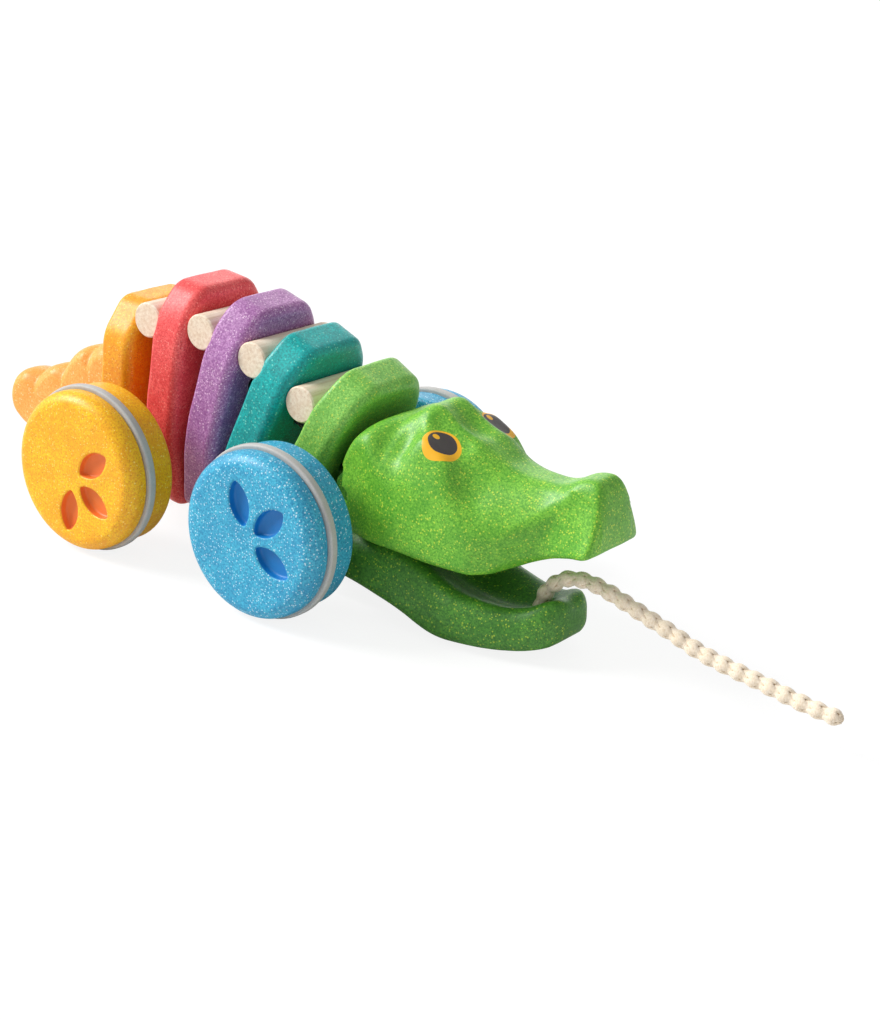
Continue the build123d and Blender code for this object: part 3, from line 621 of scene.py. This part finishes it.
def round_bar(X, z, centre, radius):
    """A long cylinder across the toy."""
    return np.hypot(X - REAR_X - centre[0], z - centre[1]) - radius


def orange_field(X, y, z):
    x = X - REAR_X
    f = ORANGE_BODY(X, y, z)
    f = carve(f, np.maximum(np.abs(y) - 14.0, z - 38.0), 0.3)
    f = carve(f, round_bar(X, z, DOWELS[0], DOWEL_LOOSE_R))
    return link_holes(f, x, y, z, 0, 0)


def red_field(X, y, z):
    x = X - REAR_X
    f = RED_BODY(X, y, z)
    f = carve(f, round_bar(X, z, DOWELS[0], DOWEL_TIGHT_R))
    f = carve(f, round_bar(X, z, DOWELS[1], DOWEL_LOOSE_R))
    f = carve(f, np.maximum(np.maximum(x - 5.65, np.abs(y) - 16.0), z - 42.0), 0.5)
    f = carve(f, round_bar(X, z, (0.0, AXLE_Z), 5.2))
    f = link_holes(f, x, y, z, 0, 1)
    return link_holes(f, x, y, z, 1, 0)


def purple_field(X, y, z):
    x = X - REAR_X
    f = PURPLE_BODY(X, y, z)
    f = carve(f, round_bar(X, z, DOWELS[1], DOWEL_TIGHT_R))
    f = carve(f, round_bar(X, z, DOWELS[2], DOWEL_LOOSE_R))
    f = link_holes(f, x, y, z, 1, 1)
    return link_holes(f, x, y, z, 2, 0)


def teal_field(X, y, z):
    x = X - REAR_X
    f = TEAL_BODY(X, y, z)
    f = carve(f, round_bar(X, z, DOWELS[2], DOWEL_TIGHT_R))
    f = carve(f, round_bar(X, z, DOWELS[3], DOWEL_LOOSE_R))
    f = link_holes(f, x, y, z, 2, 1)
    return link_holes(f, x, y, z, 3, 0)


def neck_field(X, y, z):
    x = X - REAR_X
    f = NECK_BODY(X, y, z)
    f = carve(f, round_bar(X, z, DOWELS[3], DOWEL_TIGHT_R))
    return link_holes(f, x, y, z, 3, 1)


ORANGE_BODY = plate_field(ORANGE, 8.0, 14.0, 40.0)
RED_BODY = plate_field(RED, 9.0, 24.0, 80.0)
PURPLE_BODY = plate_field(PURPLE, 10.0, 27.0, 80.0)
TEAL_BODY = plate_field(TEAL, 8.0, 20.0, 60.0)
NECK_BODY = plate_field(NECK, 10.0, 26.0, 60.0)

# ------------------------------------------------------------------ tail
TAIL_TOP = curve([(-81.0, 28.5), (-79.6, 32.0), (-77.6, 34.8), (-74.6, 36.2), (-71.5, 36.8),
                  (-68.6, 36.9), (-66.8, 36.7), (-66.0, 37.6), (-64.6, 39.0), (-61.5, 40.6),
                  (-58.0, 41.9), (-55.0, 42.8), (-53.0, 43.1), (-52.2, 44.6), (-50.8, 47.0),
                  (-48.8, 49.3), (-46.0, 51.0), (-42.6, 52.2), (-39.6, 52.7), (-38.6, 53.6),
                  (-36.6, 55.1), (-33.0, 56.3), (-28.0, 56.9), (-16.0, 56.4)])
TAIL_LOW = curve([(-81.0, 27.0), (-79.2, 22.6), (-75.8, 18.8), (-70.0, 16.0), (-60.0, 14.4),
                  (-46.0, 14.2), (-32.0, 16.0), (-16.0, 18.6)])
TAIL_DIP = curve([(-82, 0.9), (-76, 0.5), (-72, 0.2), (-66.8, 1.0), (-63, 0.6), (-58, 0.1),
                  (-52.8, 1.0), (-48, 0.6), (-43, 0.1), (-39.0, 1.0), (-35, 0.5), (-24, 0.2),
                  (-16, 0.2)])


def tail_field(X, y, z):
    x = X - REAR_X
    bevel = 0.35 + 0.75 * TAIL_DIP(x)
    top = z - (TAIL_TOP(x) - bevel * smooth_max(np.abs(y) - 3.6, 0 * y, 3.0))
    slope = np.hypot(1.0, TAIL_TOP(x + 0.5) - TAIL_TOP(x - 0.5))
    low = (TAIL_LOW(x) - z) / np.hypot(1.0, TAIL_LOW(x + 0.5) - TAIL_LOW(x - 0.5))
    half = 9.0 - 0.02 * np.maximum(-30 - x, 0)
    f = rounded(top / slope, low, 3.0)
    f = rounded(f, np.abs(y) - half, 2.4)
    f = rounded(f, -x - 80.2, 3.4)
    _, w = leaning(x, z, *ORANGE[:2])
    f = rounded(f, w + PLATE_T / 2, 0.3)
    return f + hand_sanded(X, y, z, 0.10)


# ------------------------------------------------------------------ head
HEAD_TOP = curve([(80, 40), (83.2, 45.5), (85.2, 50.0), (87.6, 54.6), (90.4, 58.8), (93.4, 61.8),
                  (97.0, 63.9), (100.0, 64.7), (103.0, 65.5), (106.0, 68.0), (109.0, 70.4),
                  (112.4, 71.2), (116.0, 70.0), (120.0, 67.6), (124.5, 65.6), (129.0, 63.6),
                  (133.5, 60.8), (138.5, 58.2), (144.0, 57.0), (150.0, 56.7), (156.0, 57.0),
                  (160.5, 58.4), (165.0, 61.0), (169.0, 61.9), (172.0, 61.5), (174.2, 59.2),
                  (176.2, 53.5), (178.6, 45.0)])
HEAD_EDGE = curve([(80, 16.0), (96, 15.0), (102, 12.0), (108, 9.6), (114, 9.6), (120, 9.4),
                   (128, 9.0), (138, 8.4), (150, 8.2), (160, 8.2), (168, 8.6), (178, 8.8)])
HEAD_SLOPE = curve([(80, 0.5), (94, 0.45), (99, 0.60), (104, 0.95), (109, 1.22), (114, 1.20),
                    (120, 1.02), (128, 0.95), (136, 0.95), (144, 1.15), (152, 1.5), (160, 1.9),
                    (168, 2.2), (178, 2.2)])
HEAD_HALF = curve([(80, 21.0), (86, 22.2), (90, 23.0), (97, 24.2), (106, 24.9), (122, 25.0),
                   (132, 24.7), (140, 23.4), (145, 21.6), (149.5, 19.4), (152.0, 17.2),
                   (154.5, 14.8), (157.5, 12.8), (161.0, 12.2), (165.0, 12.4), (170.0, 13.2),
                   (175.0, 14.8), (180, 16.0)])
HEAD_SIDE = spline([(88.6, 29.6), (93.0, 27.2), (99.0, 26.2), (118.0, 26.0), (134.0, 26.0),
                    (141.0, 26.6), (147.5, 28.4), (154.0, 32.0), (161.0, 35.6), (168.0, 38.0),
                    (174.0, 39.8), (176.8, 42.0), (177.0, 48.0), (175.6, 55.0), (173.2, 62.0),
                    (168.0, 70.0), (150.0, 78.0), (110.0, 80.0), (96.0, 74.0), (90.0, 63.0),
                    (85.8, 53.0), (83.4, 46.0), (83.0, 41.0), (84.4, 34.6)], 10, True)
HEAD_PLAN = spline([(83.2, 0.0), (83.4, 8.0), (84.0, 15.4), (86.8, 21.2), (94.0, 24.6),
                    (104.0, 27.5), (140.0, 30.0), (171.0, 24.0), (176.4, 16.6), (177.4, 9.0),
                    (177.6, 0.0), (177.4, -9.0), (176.4, -16.6), (171.0, -24.0), (140.0, -30.0),
                    (104.0, -27.5), (94.0, -24.6), (86.8, -21.2), (84.0, -15.4),
                    (83.4, -8.0)], 10, True)
HEAD_SIDE_D = flat_table(HEAD_SIDE, 12.0, 0.5)
HEAD_PLAN_D = flat_table(HEAD_PLAN, 12.0, 0.5)
HEAD_PIN = (88.6, 38.0)


def head_shape(X, y, z):
    x = X - REAR_X
    ay = np.sqrt(y * y + 1.0)
    edge, slope = HEAD_EDGE(x), HEAD_SLOPE(x)
    over = smooth_max(ay - edge, 0 * ay, 5.0)
    top = HEAD_TOP(x) - slope * over
    # a flat pad for each eye, the valley round it and between the two, and the waist of the muzzle
    pad = EYE[2] - 0.44 * (x - EYE[0]) - 0.08 * (ay - EYE[1])
    share = np.exp(-((x - 120.6) / 8.0) ** 4 - ((ay - 14.8) / 6.6) ** 4)
    top = top + (pad - top) * share
    top = top - 2.6 * np.exp(-((x - 121.0) / 8.0) ** 2 - (ay / 5.2) ** 2)
    top = top - 2.2 * np.exp(-((x - 109.5) / 3.6) ** 2 - ((ay - 17.0) / 4.4) ** 2)
    top = top - 2.4 * np.exp(-((x - 133.0) / 6.0) ** 2 - ((ay - 17.0) / 5.0) ** 2)
    steep = np.where(ay > edge, slope, 0.25)
    f_top = (z - top) / np.sqrt(1.0 + steep ** 2)
    nose = np.clip((x - 148.0) / 12.0, 0, 1)
    ridge = x - 0.62 * (z - 42.0) * np.clip((x - 138.0) / 12.0, 0, 1)
    half = (HEAD_HALF(ridge) - nose * 0.22 * np.maximum(z - 41.0, 0)
            - (1 - nose) * 0.03 * np.abs(z - 38.0))
    lean = (HEAD_HALF(ridge + 0.5) - HEAD_HALF(ridge - 0.5)) * 1.15
    f_half = (np.abs(y) - half) / np.sqrt(1.0 + lean ** 2 + (nose * 0.22) ** 2)
    edge_r = 4.2 - 2.0 * np.clip((x - 156.0) / 10.0, 0, 1)
    f = rounded(HEAD_SIDE_D(x, z), HEAD_PLAN_D(x, y), edge_r)
    f = rounded(f, f_half, 0.75 * edge_r)
    f = smooth_max(f, f_top, 3.4)
    return f + hand_sanded(X, y, z, 0.10)


def head_field(X, y, z):
    x = X - REAR_X
    f = head_shape(X, y, z)
    hollow = np.maximum(np.maximum(x - 97.6, np.abs(y) - 18.5), z - 47.0)
    hollow = np.minimum(hollow, np.maximum(x - 87.4, z - 47.0))
    f = carve(f, hollow, 0.5)
    knuckle = np.hypot(x - HEAD_PIN[0], z - HEAD_PIN[1]) - 7.2
    web = np.maximum(np.maximum(x - 101.0, 86.6 - x), np.maximum(z - 51.0, 31.8 - z))
    tongue = rounded(np.minimum(knuckle, web), np.abs(y) - 8.0, 0.6)
    f = join(f, tongue, 0.5)
    return carve(f, round_bar(X, z, HEAD_PIN, AXLE_BORE_R), 0.3)


# ------------------------------------------------------------------ lower jaw
JAW_LOW = curve([(84, 11.4), (92.0, 10.4), (98.0, 9.4), (103.8, 8.2), (110.0, 6.8), (116.0, 5.1),
                 (121.0, 3.4), (126.0, 2.0), (131.0, 1.5), (138.0, 1.8), (146.0, 2.4), (154.0, 3.2),
                 (160.0, 4.8), (164.0, 7.0), (168, 11.0)])
JAW_RIM = curve([(84, 26.0), (98.0, 25.9), (106.0, 25.0), (113.0, 23.6), (120.0, 21.0),
                 (127.0, 18.4), (134.0, 16.6), (142.0, 15.8), (149.0, 16.0), (154.5, 17.4),
                 (158.5, 19.6), (161.5, 20.7), (164.5, 20.3), (168, 18.6)])
JAW_FLOOR = curve([(84, 25.6), (98.0, 25.0), (106.0, 23.0), (113.0, 19.8), (120.0, 16.0),
                   (127.0, 12.9), (134.0, 11.4), (142.0, 11.2), (148.0, 12.4), (152.5, 14.0),
                   (156.0, 16.4), (159.5, 18.9), (162.5, 20.0), (168, 18.0)])
JAW_HALF = curve([(84, 22.5), (126.0, 22.4), (134.0, 21.9), (141.0, 20.6), (147.0, 18.9),
                  (152.0, 17.0), (156.5, 15.2), (160.5, 13.2), (163.0, 11.6), (167, 8.6)])


def jaw_field(X, y, z):
    x = X - REAR_X
    ay = np.abs(y)
    half = JAW_HALF(x)
    inner = np.maximum(half - 5.6, 3.0)
    t = np.clip(ay / inner, 0, 1)
    bowl = t * t * (3 - 2 * t)
    top = JAW_FLOOR(x) + (JAW_RIM(x) - JAW_FLOOR(x)) * bowl
    rim_bevel = 1.15 * smooth_max(ay - (half - 4.4), 0 * ay, 2.4)
    top = top - rim_bevel
    f_top = (z - top) / 1.25
    f_low = (JAW_LOW(x) - z) / np.hypot(1.0, JAW_LOW(x + 0.5) - JAW_LOW(x - 0.5))
    pinch = (0.10 * np.maximum(5.0 - z, 0)
             + 0.16 * np.maximum(z - 9.0, 0) * np.clip((x - 100) / 20, 0, 1))
    f_side = (ay - half + pinch) / np.hypot(1.0, JAW_HALF(x + 0.5) - JAW_HALF(x - 0.5))
    f_front = x - 166.0 + 0.013 * y * y + 0.05 * np.maximum(9.0 - z, 0) ** 1.3
    f = rounded(f_low, f_side, 3.4)
    f = rounded(f, f_front, 2.8)
    f = smooth_max(f, f_top, 2.6)
    f = rounded(f, 86.0 - x, 1.0)
    # the block behind the mouth with the two ears of the hinge
    _, w = leaning(x, z, *NECK[:2])
    block = np.maximum(PLATE_T / 2 - w, JAW_BLOCK_D(x, z))
    block = rounded(block, ay - 18.0, 0.8)
    f = join(f, block, 1.2)
    f = f + hand_sanded(X, y, z, 0.09)
    slot = np.maximum(np.maximum(ay - 8.3, np.abs(x - 94.6) - 13.6), 27.0 - z)
    f = carve(f, slot, 0.4)
    f = carve(f, round_bar(X, z, (WHEELBASE, AXLE_Z), AXLE_BORE_R), 0.3)
    f = carve(f, np.maximum(round_bar(X, z, HEAD_PIN, ROD_R), ay - 16.5), 0.3)
    # the cord's hole, its rim eased for the cord's swing, and the pocket for the knot below it
    hole = np.hypot(x - CORD_HOLE_X, y)
    f = carve(f, hole - 2.9, 1.8)
    return carve(f, np.maximum(hole - 4.8, z - 10.2), 0.4)


JAW_BLOCK = np.array([(72.0, 10.0), (66.0, 36.0), (82.6, 36.0), (82.6, 41.5), (86.1, 45.5),
                      (91.1, 45.5), (94.6, 41.5), (94.6, 25.9), (98.6, 25.0), (98.6, 11.5),
                      (88.6, 9.2)])
JAW_BLOCK_D = flat_table(JAW_BLOCK, 10.0, 0.5)


# ------------------------------------------------------------------ wheels
def wheel_field(axle_x, side, first_petal, drop):
    """A turned wheel: a shallow dome, a band groove and three petal hollows, set drop lower."""

    def fn(X, y, z):
        x, h = X - REAR_X - axle_x, z - AXLE_Z
        w = y * side
        r = np.hypot(x, h)
        dome = 0.55 * np.clip((r - 20.5) / 6.5, 0, 1) ** 2
        face = w - WHEEL_OUT + dome
        disc_out = rounded(rounded(r - WHEEL_R, face, 4.4), GROOVE_OUT - w, 0.9)
        disc_in = rounded(rounded(r - WHEEL_R, w - GROOVE_IN, 0.9), WHEEL_IN - w, 1.4)
        hub = np.maximum(np.maximum(r - GROOVE_R, w - SOCKET_END), 40.0 - w)
        f = np.minimum(np.minimum(disc_out, disc_in), hub)
        for n in range(3):
            a = math.radians(first_petal + 66.0 * n)
            u = (x * math.cos(a) + (h + drop) * math.sin(a)) - 11.6
            v = -x * math.sin(a) + (h + drop) * math.cos(a)
            lens = smooth_max(np.hypot(u, v - 5.2), np.hypot(u, v + 5.2), 1.0) - 9.2
            floor = WHEEL_OUT - 2.8 + 0.012 * (u * u + 2.0 * v * v) - w
            pocket = smooth_max(lens * 0.99 - 0.12 * (w - WHEEL_OUT), floor, 0.7)
            f = carve(f, pocket, 0.35)
        f = carve(f, np.maximum(r - ROD_R, w - SOCKET_END), 0.3)
        return f + 0.4 * hand_sanded(X, y, z, 0.05)

    return fn


# ------------------------------------------------------------------ yarn
def frames_along(path):
    """Tangents and two steady normals along a curve."""
    t = np.gradient(path, axis=0)
    t /= np.linalg.norm(t, axis=1)[:, None]
    n = np.zeros_like(path)
    v = np.cross(t[0], (0.0, 1.0, 0.0))
    n[0] = v / np.linalg.norm(v)
    for i in range(1, len(path)):
        v = n[i - 1] - t[i] * np.dot(n[i - 1], t[i])
        n[i] = v / np.linalg.norm(v)
    return t, n, np.cross(t, n)


def even(path, step):
    """The same curve with points every step of its length."""
    seg = np.linalg.norm(np.diff(path, axis=0), axis=1)
    s = np.concatenate([[0], np.cumsum(seg)])
    at = np.linspace(0, s[-1], max(int(s[-1] / step), 2) + 1)
    return np.stack([np.interp(at, s, path[:, m]) for m in range(3)], 1), at


def tube(path, wide, thick, up, sides=10, lobes=0.0):
    """A closed tube with an oval section; up gives the section's thickness direction."""
    t = np.gradient(path, axis=0)
    t /= np.linalg.norm(t, axis=1)[:, None]
    up = up - t * (up * t).sum(1)[:, None]
    up /= np.linalg.norm(up, axis=1)[:, None]
    out = np.cross(t, up)
    n = len(path)
    a = np.arange(sides) * 2 * math.pi / sides
    grow = 1 + lobes * np.cos(3 * a)
    wide = np.broadcast_to(wide, (n,))
    thick = np.broadcast_to(thick, (n,))
    ring = (path[:, None]
            + out[:, None] * (np.cos(a) * grow)[None, :, None] * wide[:, None, None]
            + up[:, None] * (np.sin(a) * grow)[None, :, None] * thick[:, None, None])
    verts = ring.reshape(-1, 3)
    faces = []
    for i in range(n - 1):
        for j in range(sides):
            k = (j + 1) % sides
            faces.append((i * sides + j, i * sides + k, (i + 1) * sides + k, (i + 1) * sides + j))
    verts = np.concatenate([verts, path[:1], path[-1:]])
    first, last = n * sides, n * sides + 1
    for j in range(sides):
        k = (j + 1) % sides
        faces.append((first, k, j))
        faces.append((last, (n - 1) * sides + j, (n - 1) * sides + k))
    return verts, faces


def gathered(parts):
    """Several meshes as one."""
    verts, faces, base = [], [], 0
    for v, f in parts:
        verts.append(v)
        faces += [tuple(i + base for i in q) for q in f]
        base += len(v)
    return np.concatenate(verts), faces


def braid(path, radius, strands, pitch, width, height, wave, step=0.4, tip=0.0, seed=SEED):
    """Strands wound both ways round a path, each passing over and under the others."""
    path, s = even(path, step)
    t, n, b = frames_along(path)
    total = s[-1]
    parts = [tube(path, radius * 0.62, radius * 0.62, n, 10)]
    rng = np.random.default_rng(seed)
    turn = 2 * math.pi / pitch
    marks = np.arange(0, total + 6, 6)
    for hand in (1, -1):
        for k in range(strands):
            a = (2 * math.pi * k / strands + hand * turn * s
                 + (0.0 if hand > 0 else math.pi / strands))
            phase = strands * turn * s + (0.5 * math.pi if hand < 0 else -0.5 * math.pi)
            lift = wave * np.sin(phase) * (1 if hand > 0 else -1)
            loose = 0.05 * np.interp(s, marks, rng.normal(size=len(marks)))
            r = radius - height + lift + loose
            end = np.clip((s - (total - tip)) / tip, 0, 1) if tip else np.zeros_like(s)
            r = r * (1 - 0.55 * end ** 2)
            radial = n * np.cos(a)[:, None] + b * np.sin(a)[:, None]
            w = width * (1 - 0.35 * end)
            parts.append(tube(path + radial * r[:, None], w, height, radial, 9, 0.06))
    return gathered(parts)


# ------------------------------------------------------------------ finishes
ORANGE_C, ORANGE_D = rgb(250, 186, 30), rgb(236, 140, 8)
TAIL_C, TAIL_D = rgb(250, 186, 96), rgb(240, 152, 54)
RED_C, RED_D = rgb(252, 110, 106), rgb(222, 54, 58)
PURPLE_C, PURPLE_D = rgb(200, 146, 198), rgb(140, 76, 142)
TEAL_C, TEAL_D = rgb(8, 188, 184), rgb(2, 130, 130)
NECK_C, NECK_D = rgb(152, 214, 98), rgb(92, 166, 60)
HEAD_C, HEAD_D = rgb(132, 200, 60), rgb(64, 146, 32)
JAW_C, JAW_D = rgb(90, 156, 52), rgb(42, 100, 30)
YELLOW_C, YELLOW_D = rgb(255, 202, 18), rgb(236, 150, 6)
BLUE_C, BLUE_D = rgb(70, 184, 214), rgb(20, 128, 176)

mat = {
    "orange": painted("stained_orange", ORANGE_C, ORANGE_D, rgb(255, 214, 110), 0.5),
    "tail": painted("stained_light_orange", TAIL_C, TAIL_D, rgb(255, 222, 160), 0.4),
    "red": painted("stained_red", RED_C, RED_D, rgb(255, 150, 140), 0.5),
    "purple": painted("stained_purple", PURPLE_C, PURPLE_D, rgb(238, 206, 232), 0.9),
    "teal": painted("stained_teal", TEAL_C, TEAL_D, rgb(120, 222, 204), 0.4),
    "neck": painted("stained_green", NECK_C, NECK_D, rgb(214, 226, 84), 0.7),
    "head": painted("stained_head_green", HEAD_C, HEAD_D, rgb(206, 224, 70), 0.7, eyes=True),
    "jaw": painted("stained_jaw_green", JAW_C, JAW_D, rgb(180, 206, 62), 0.6),
    "yellow": painted("stained_yellow", YELLOW_C, YELLOW_D, rgb(255, 226, 120), 0.4,
                      petal=rgb(234, 122, 50)),
    "blue": painted("stained_blue", BLUE_C, BLUE_D, rgb(206, 236, 244), 0.9,
                    petal=rgb(6, 120, 190)),
    "dowel": bare_wood("bare_wood"),
    "rubber": rubber("band_rubber", rgb(186, 184, 180)),
    "steel": steel("axle_steel"),
    "sleeve": plastic("sleeve_plastic_finish", rgb(226, 226, 220)),
    # the last colour of each yarn is the painted shade between its strands
    "elastic": cord_fibre("elastic_yarn", rgb(58, 58, 60), rgb(30, 30, 32), rgb(84, 84, 86),
                          rgb(12, 12, 12)),
    "cord": cord_fibre("cotton_yarn", rgb(250, 237, 218), rgb(226, 204, 174), rgb(252, 242, 228),
                       rgb(206, 178, 138)),
}


def carved(name, fn, node, step, finish, body):
    """A wooden piece that stands for its CAD node, sampled from its field in the node's box."""
    low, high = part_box(node)
    low = np.array(low) * 1000 - 1.2
    high = np.array(high) * 1000 + 1.2
    obj = add_mesh(name, *sampled(fn, low, high, step), mat[finish])
    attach(obj, body)
    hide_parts(node)


for name, fn, node, finish, body, slot_name in (
        ("head_carved", head_field, "head", "head", "head", "head_green_wood"),
        ("lower_jaw_carved", jaw_field, "lower_jaw", "jaw", "front_block", "jaw_green_wood"),
        ("tail_carved", tail_field, "tail", "tail", "rear_block", "light_orange_wood"),
        ("plate_orange_sanded", orange_field, "plate_orange", "orange", "rear_block",
         "orange_wood"),
        ("plate_red_sanded", red_field, "plate_red", "red", "red_section", "red_wood"),
        ("plate_purple_sanded", purple_field, "plate_purple", "purple", "purple_section",
         "purple_wood"),
        ("plate_teal_sanded", teal_field, "plate_teal", "teal", "teal_section", "teal_wood"),
        ("plate_neck_sanded", neck_field, "plate_neck", "neck", "front_block", "green_wood")):
    carved(name, fn, node, FIELD_STEP, finish, body)
for end, axle_x, finish, body, slot_name, turns, drop in (
        ("rear", 0.0, "yellow", "rear_wheelset", "yellow_wood", (-95.0, 40.0), 1.8),
        ("front", WHEELBASE, "blue", "front_wheelset", "blue_wood", (-24.0, 100.0), 0.4)):
    for side_name, side, turn in (("right", -1, turns[0]), ("left", 1, turns[1])):
        node = f"wheel_{end}_{side_name}"
        carved(f"{node}_turned", wheel_field(axle_x, side, turn, drop), node, WHEEL_STEP,
               finish, body)

# rods, bands, pegs and blocks that keep their CAD shape
KEPT = {
    "dowel": ("dowel_1", "dowel_2", "dowel_3", "dowel_4", "tail_pegs", "neck_pegs", "neck_stop",
              "rear_axle_block"),
    "rubber": ("tyre_rear_right", "tyre_rear_left", "tyre_front_right", "tyre_front_left"),
    "steel": ("rear_axle", "front_axle", "head_pin"),
    "sleeve": ("rear_axle_sleeves", "front_axle_sleeves"),
}
for finish, names in KEPT.items():
    for name in names:
        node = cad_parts[name]
        node.data.materials.clear()
        node.data.materials.append(mat[finish])

# elastic cords between neighbouring plates, knotted at both ends
for n in range(4):
    mid, d, ends = link_line(n)
    low, high = ends[0] + KNOT_POCKET_DEPTH - 2.3, ends[1] - KNOT_POCKET_DEPTH + 2.3
    parts = []
    for side in ((1,) if LINK_Y[n] == 0 else (-1, 1)):
        def at(s, up=0.0, out=0.0):
            """A point of the link: along it, above it and to its side."""
            return np.array([REAR_X + mid[0] + d[0] * s - d[1] * up, side * LINK_Y[n] + out,
                             mid[1] + d[1] * s + d[0] * up])

        line = np.array([at(s) for s in np.linspace(low, high, 60)])
        parts.append(braid(line, 1.5, 4, 7.0, 0.62, 0.34, 0.16, step=0.35, seed=SEED + n))
        for end in (low, high):
            loop = []
            for q in np.linspace(0, 2 * math.pi, 90):
                c, e = math.cos(2 * q), math.sin(2 * q)
                g = 1.15 + 0.62 * math.cos(3 * q)
                loop.append(at(end + 0.95 * math.sin(3 * q), g * c * 1.02, g * e * 1.02))
            loop = np.array(loop)
            centre = at(end)
            parts.append(tube(loop, 0.95, 0.95, loop - centre + 1e-3, 9))
    link = add_mesh(f"elastic_link_{n + 1}_knotted", *gathered(parts), mat["elastic"])
    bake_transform(link)
    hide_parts(f"elastic_link_{n + 1}")

# pull cord: a braid from its knot under the jaw, up through the hole and out of the mouth
CORD_PATH = spline([(CORD_HOLE_X, 0, 6.0), (CORD_HOLE_X, 0, 10.0), (152.9, 0, 15.4),
                    (154.2, 0, 19.4), (156.9, 0, 23.0), (160.6, 0, 25.7), (164.6, 0, 27.0),
                    (169.8, 0, 27.3), (175.6, 0, 26.5), (180.8, 0, 25.2), (187.7, 0, 23.4),
                    (198.7, 0, 20.6), (209.4, 0, 17.7), (219.8, 0, 16.1), (229.9, 0, 15.0),
                    (240.0, 0, 13.7), (248.0, 0, 12.9), (256.6, 0, 12.6)], 20)
CORD_PATH[:, 0] += REAR_X
cord_mesh = braid(CORD_PATH, 2.35, 4, 21.0, 1.30, 0.66, 0.36, step=0.42, tip=2.5)
cord = add_mesh("pull_cord_braided", *cord_mesh, mat["cord"])
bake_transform(cord)
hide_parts("pull_cord")
loop = []
for q in np.linspace(0, 2 * math.pi, 160):
    g = 1.55 + 0.75 * math.cos(3 * q)
    loop.append((REAR_X + CORD_HOLE_X + g * math.cos(2 * q), g * math.sin(2 * q),
                 5.6 + 1.35 * math.sin(3 * q)))
knot_mesh = braid(np.array(loop), 1.28, 4, 11.0, 0.62, 0.34, 0.14, step=0.4, seed=SEED + 9)
knot = add_mesh("cord_knot_tied", *knot_mesh, mat["cord"])
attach(knot, "knot")
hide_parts("cord_knot")

# ------------------------------------------------------------------ stage, light and camera
# the floor glows a little towards the camera only, so that it stays near white under the toy
floor_mat = Nodes("pale_floor")
floor_mat.finish(rgb(236, 236, 236), 0.9, spec=0.0)
glow = floor_mat.tree.nodes.new("ShaderNodeEmission")
seen = floor_mat.tree.nodes.new("ShaderNodeLightPath")
blend = floor_mat.tree.nodes.new("ShaderNodeMixShader")
floor_mat.link(floor_mat.math("MULTIPLY", seen.outputs["Is Camera Ray"], 0.80), blend.inputs[0])
floor_mat.link(floor_mat.bsdf.outputs[0], blend.inputs[1])
floor_mat.link(glow.outputs[0], blend.inputs[2])
glow.inputs["Strength"].default_value = 1.08
floor_mat.link(blend.outputs[0], floor_mat.out.inputs["Surface"])
half = 3.0
floor_mesh = bpy.data.meshes.new("floor")
floor_mesh.from_pydata([(-half, -half, 0), (half, -half, 0), (half, half, 0), (-half, half, 0)],
                       [], [(0, 1, 2, 3)])
floor = bpy.data.objects.new("floor", floor_mesh)
bpy.context.scene.collection.objects.link(floor)
floor.data.materials.append(floor_mat.mat)

world = bpy.data.worlds.new("studio")
bpy.context.scene.world = world
world.use_nodes = True
tree = world.node_tree
shade = tree.nodes["Background"]
shade.inputs[0].default_value = (1, 1, 1, 1)
path = tree.nodes.new("ShaderNodeLightPath")
level = tree.nodes.new("ShaderNodeMapRange")
level.inputs["To Min"].default_value = 0.50
level.inputs["To Max"].default_value = 1.05
tree.links.new(path.outputs["Is Camera Ray"], level.inputs["Value"])
tree.links.new(level.outputs[0], shade.inputs[1])


def softbox(name, place, target, width, power):
    """A square area light aimed at a point."""
    data = bpy.data.lights.new(name, "AREA")
    data.shape = "SQUARE"
    data.size = width
    data.energy = power
    obj = bpy.data.objects.new(name, data)
    bpy.context.scene.collection.objects.link(obj)
    obj.location = place
    obj.rotation_euler = (Vector(target) - Vector(place)).to_track_quat("-Z", "Y").to_euler()
    return obj


sun_data = bpy.data.lights.new("key", "SUN")
sun_data.energy = 3.5
sun_data.angle = math.radians(26)
sun = bpy.data.objects.new("key", sun_data)
bpy.context.scene.collection.objects.link(sun)
sun.rotation_euler = Vector((0.78, 0.42, -0.66)).to_track_quat("-Z", "Y").to_euler()
sheen = softbox("back_sheen", (-0.85, 1.22, 0.60), (0, 0, 0.05), 1.1, 5.5)
sheen.visible_camera = False

camera_data = bpy.data.cameras.new("camera")
camera_data.lens = 72.607
camera_data.clip_start = 0.01
camera = bpy.data.objects.new("camera", camera_data)
bpy.context.scene.collection.objects.link(camera)
right = Vector((0.79935, 0.59572, 0.07845)).normalized()
up = Vector((-0.27326, 0.24413, 0.93045))
back = right.cross(up).normalized()
up = back.cross(right)
rows = Matrix((right, up, back)).transposed().to_4x4()
camera.matrix_world = Matrix.Translation((0.37376, -0.50199, 0.26897)) @ rows
bpy.context.scene.camera = camera
bpy.context.scene.view_settings.view_transform = "Standard"
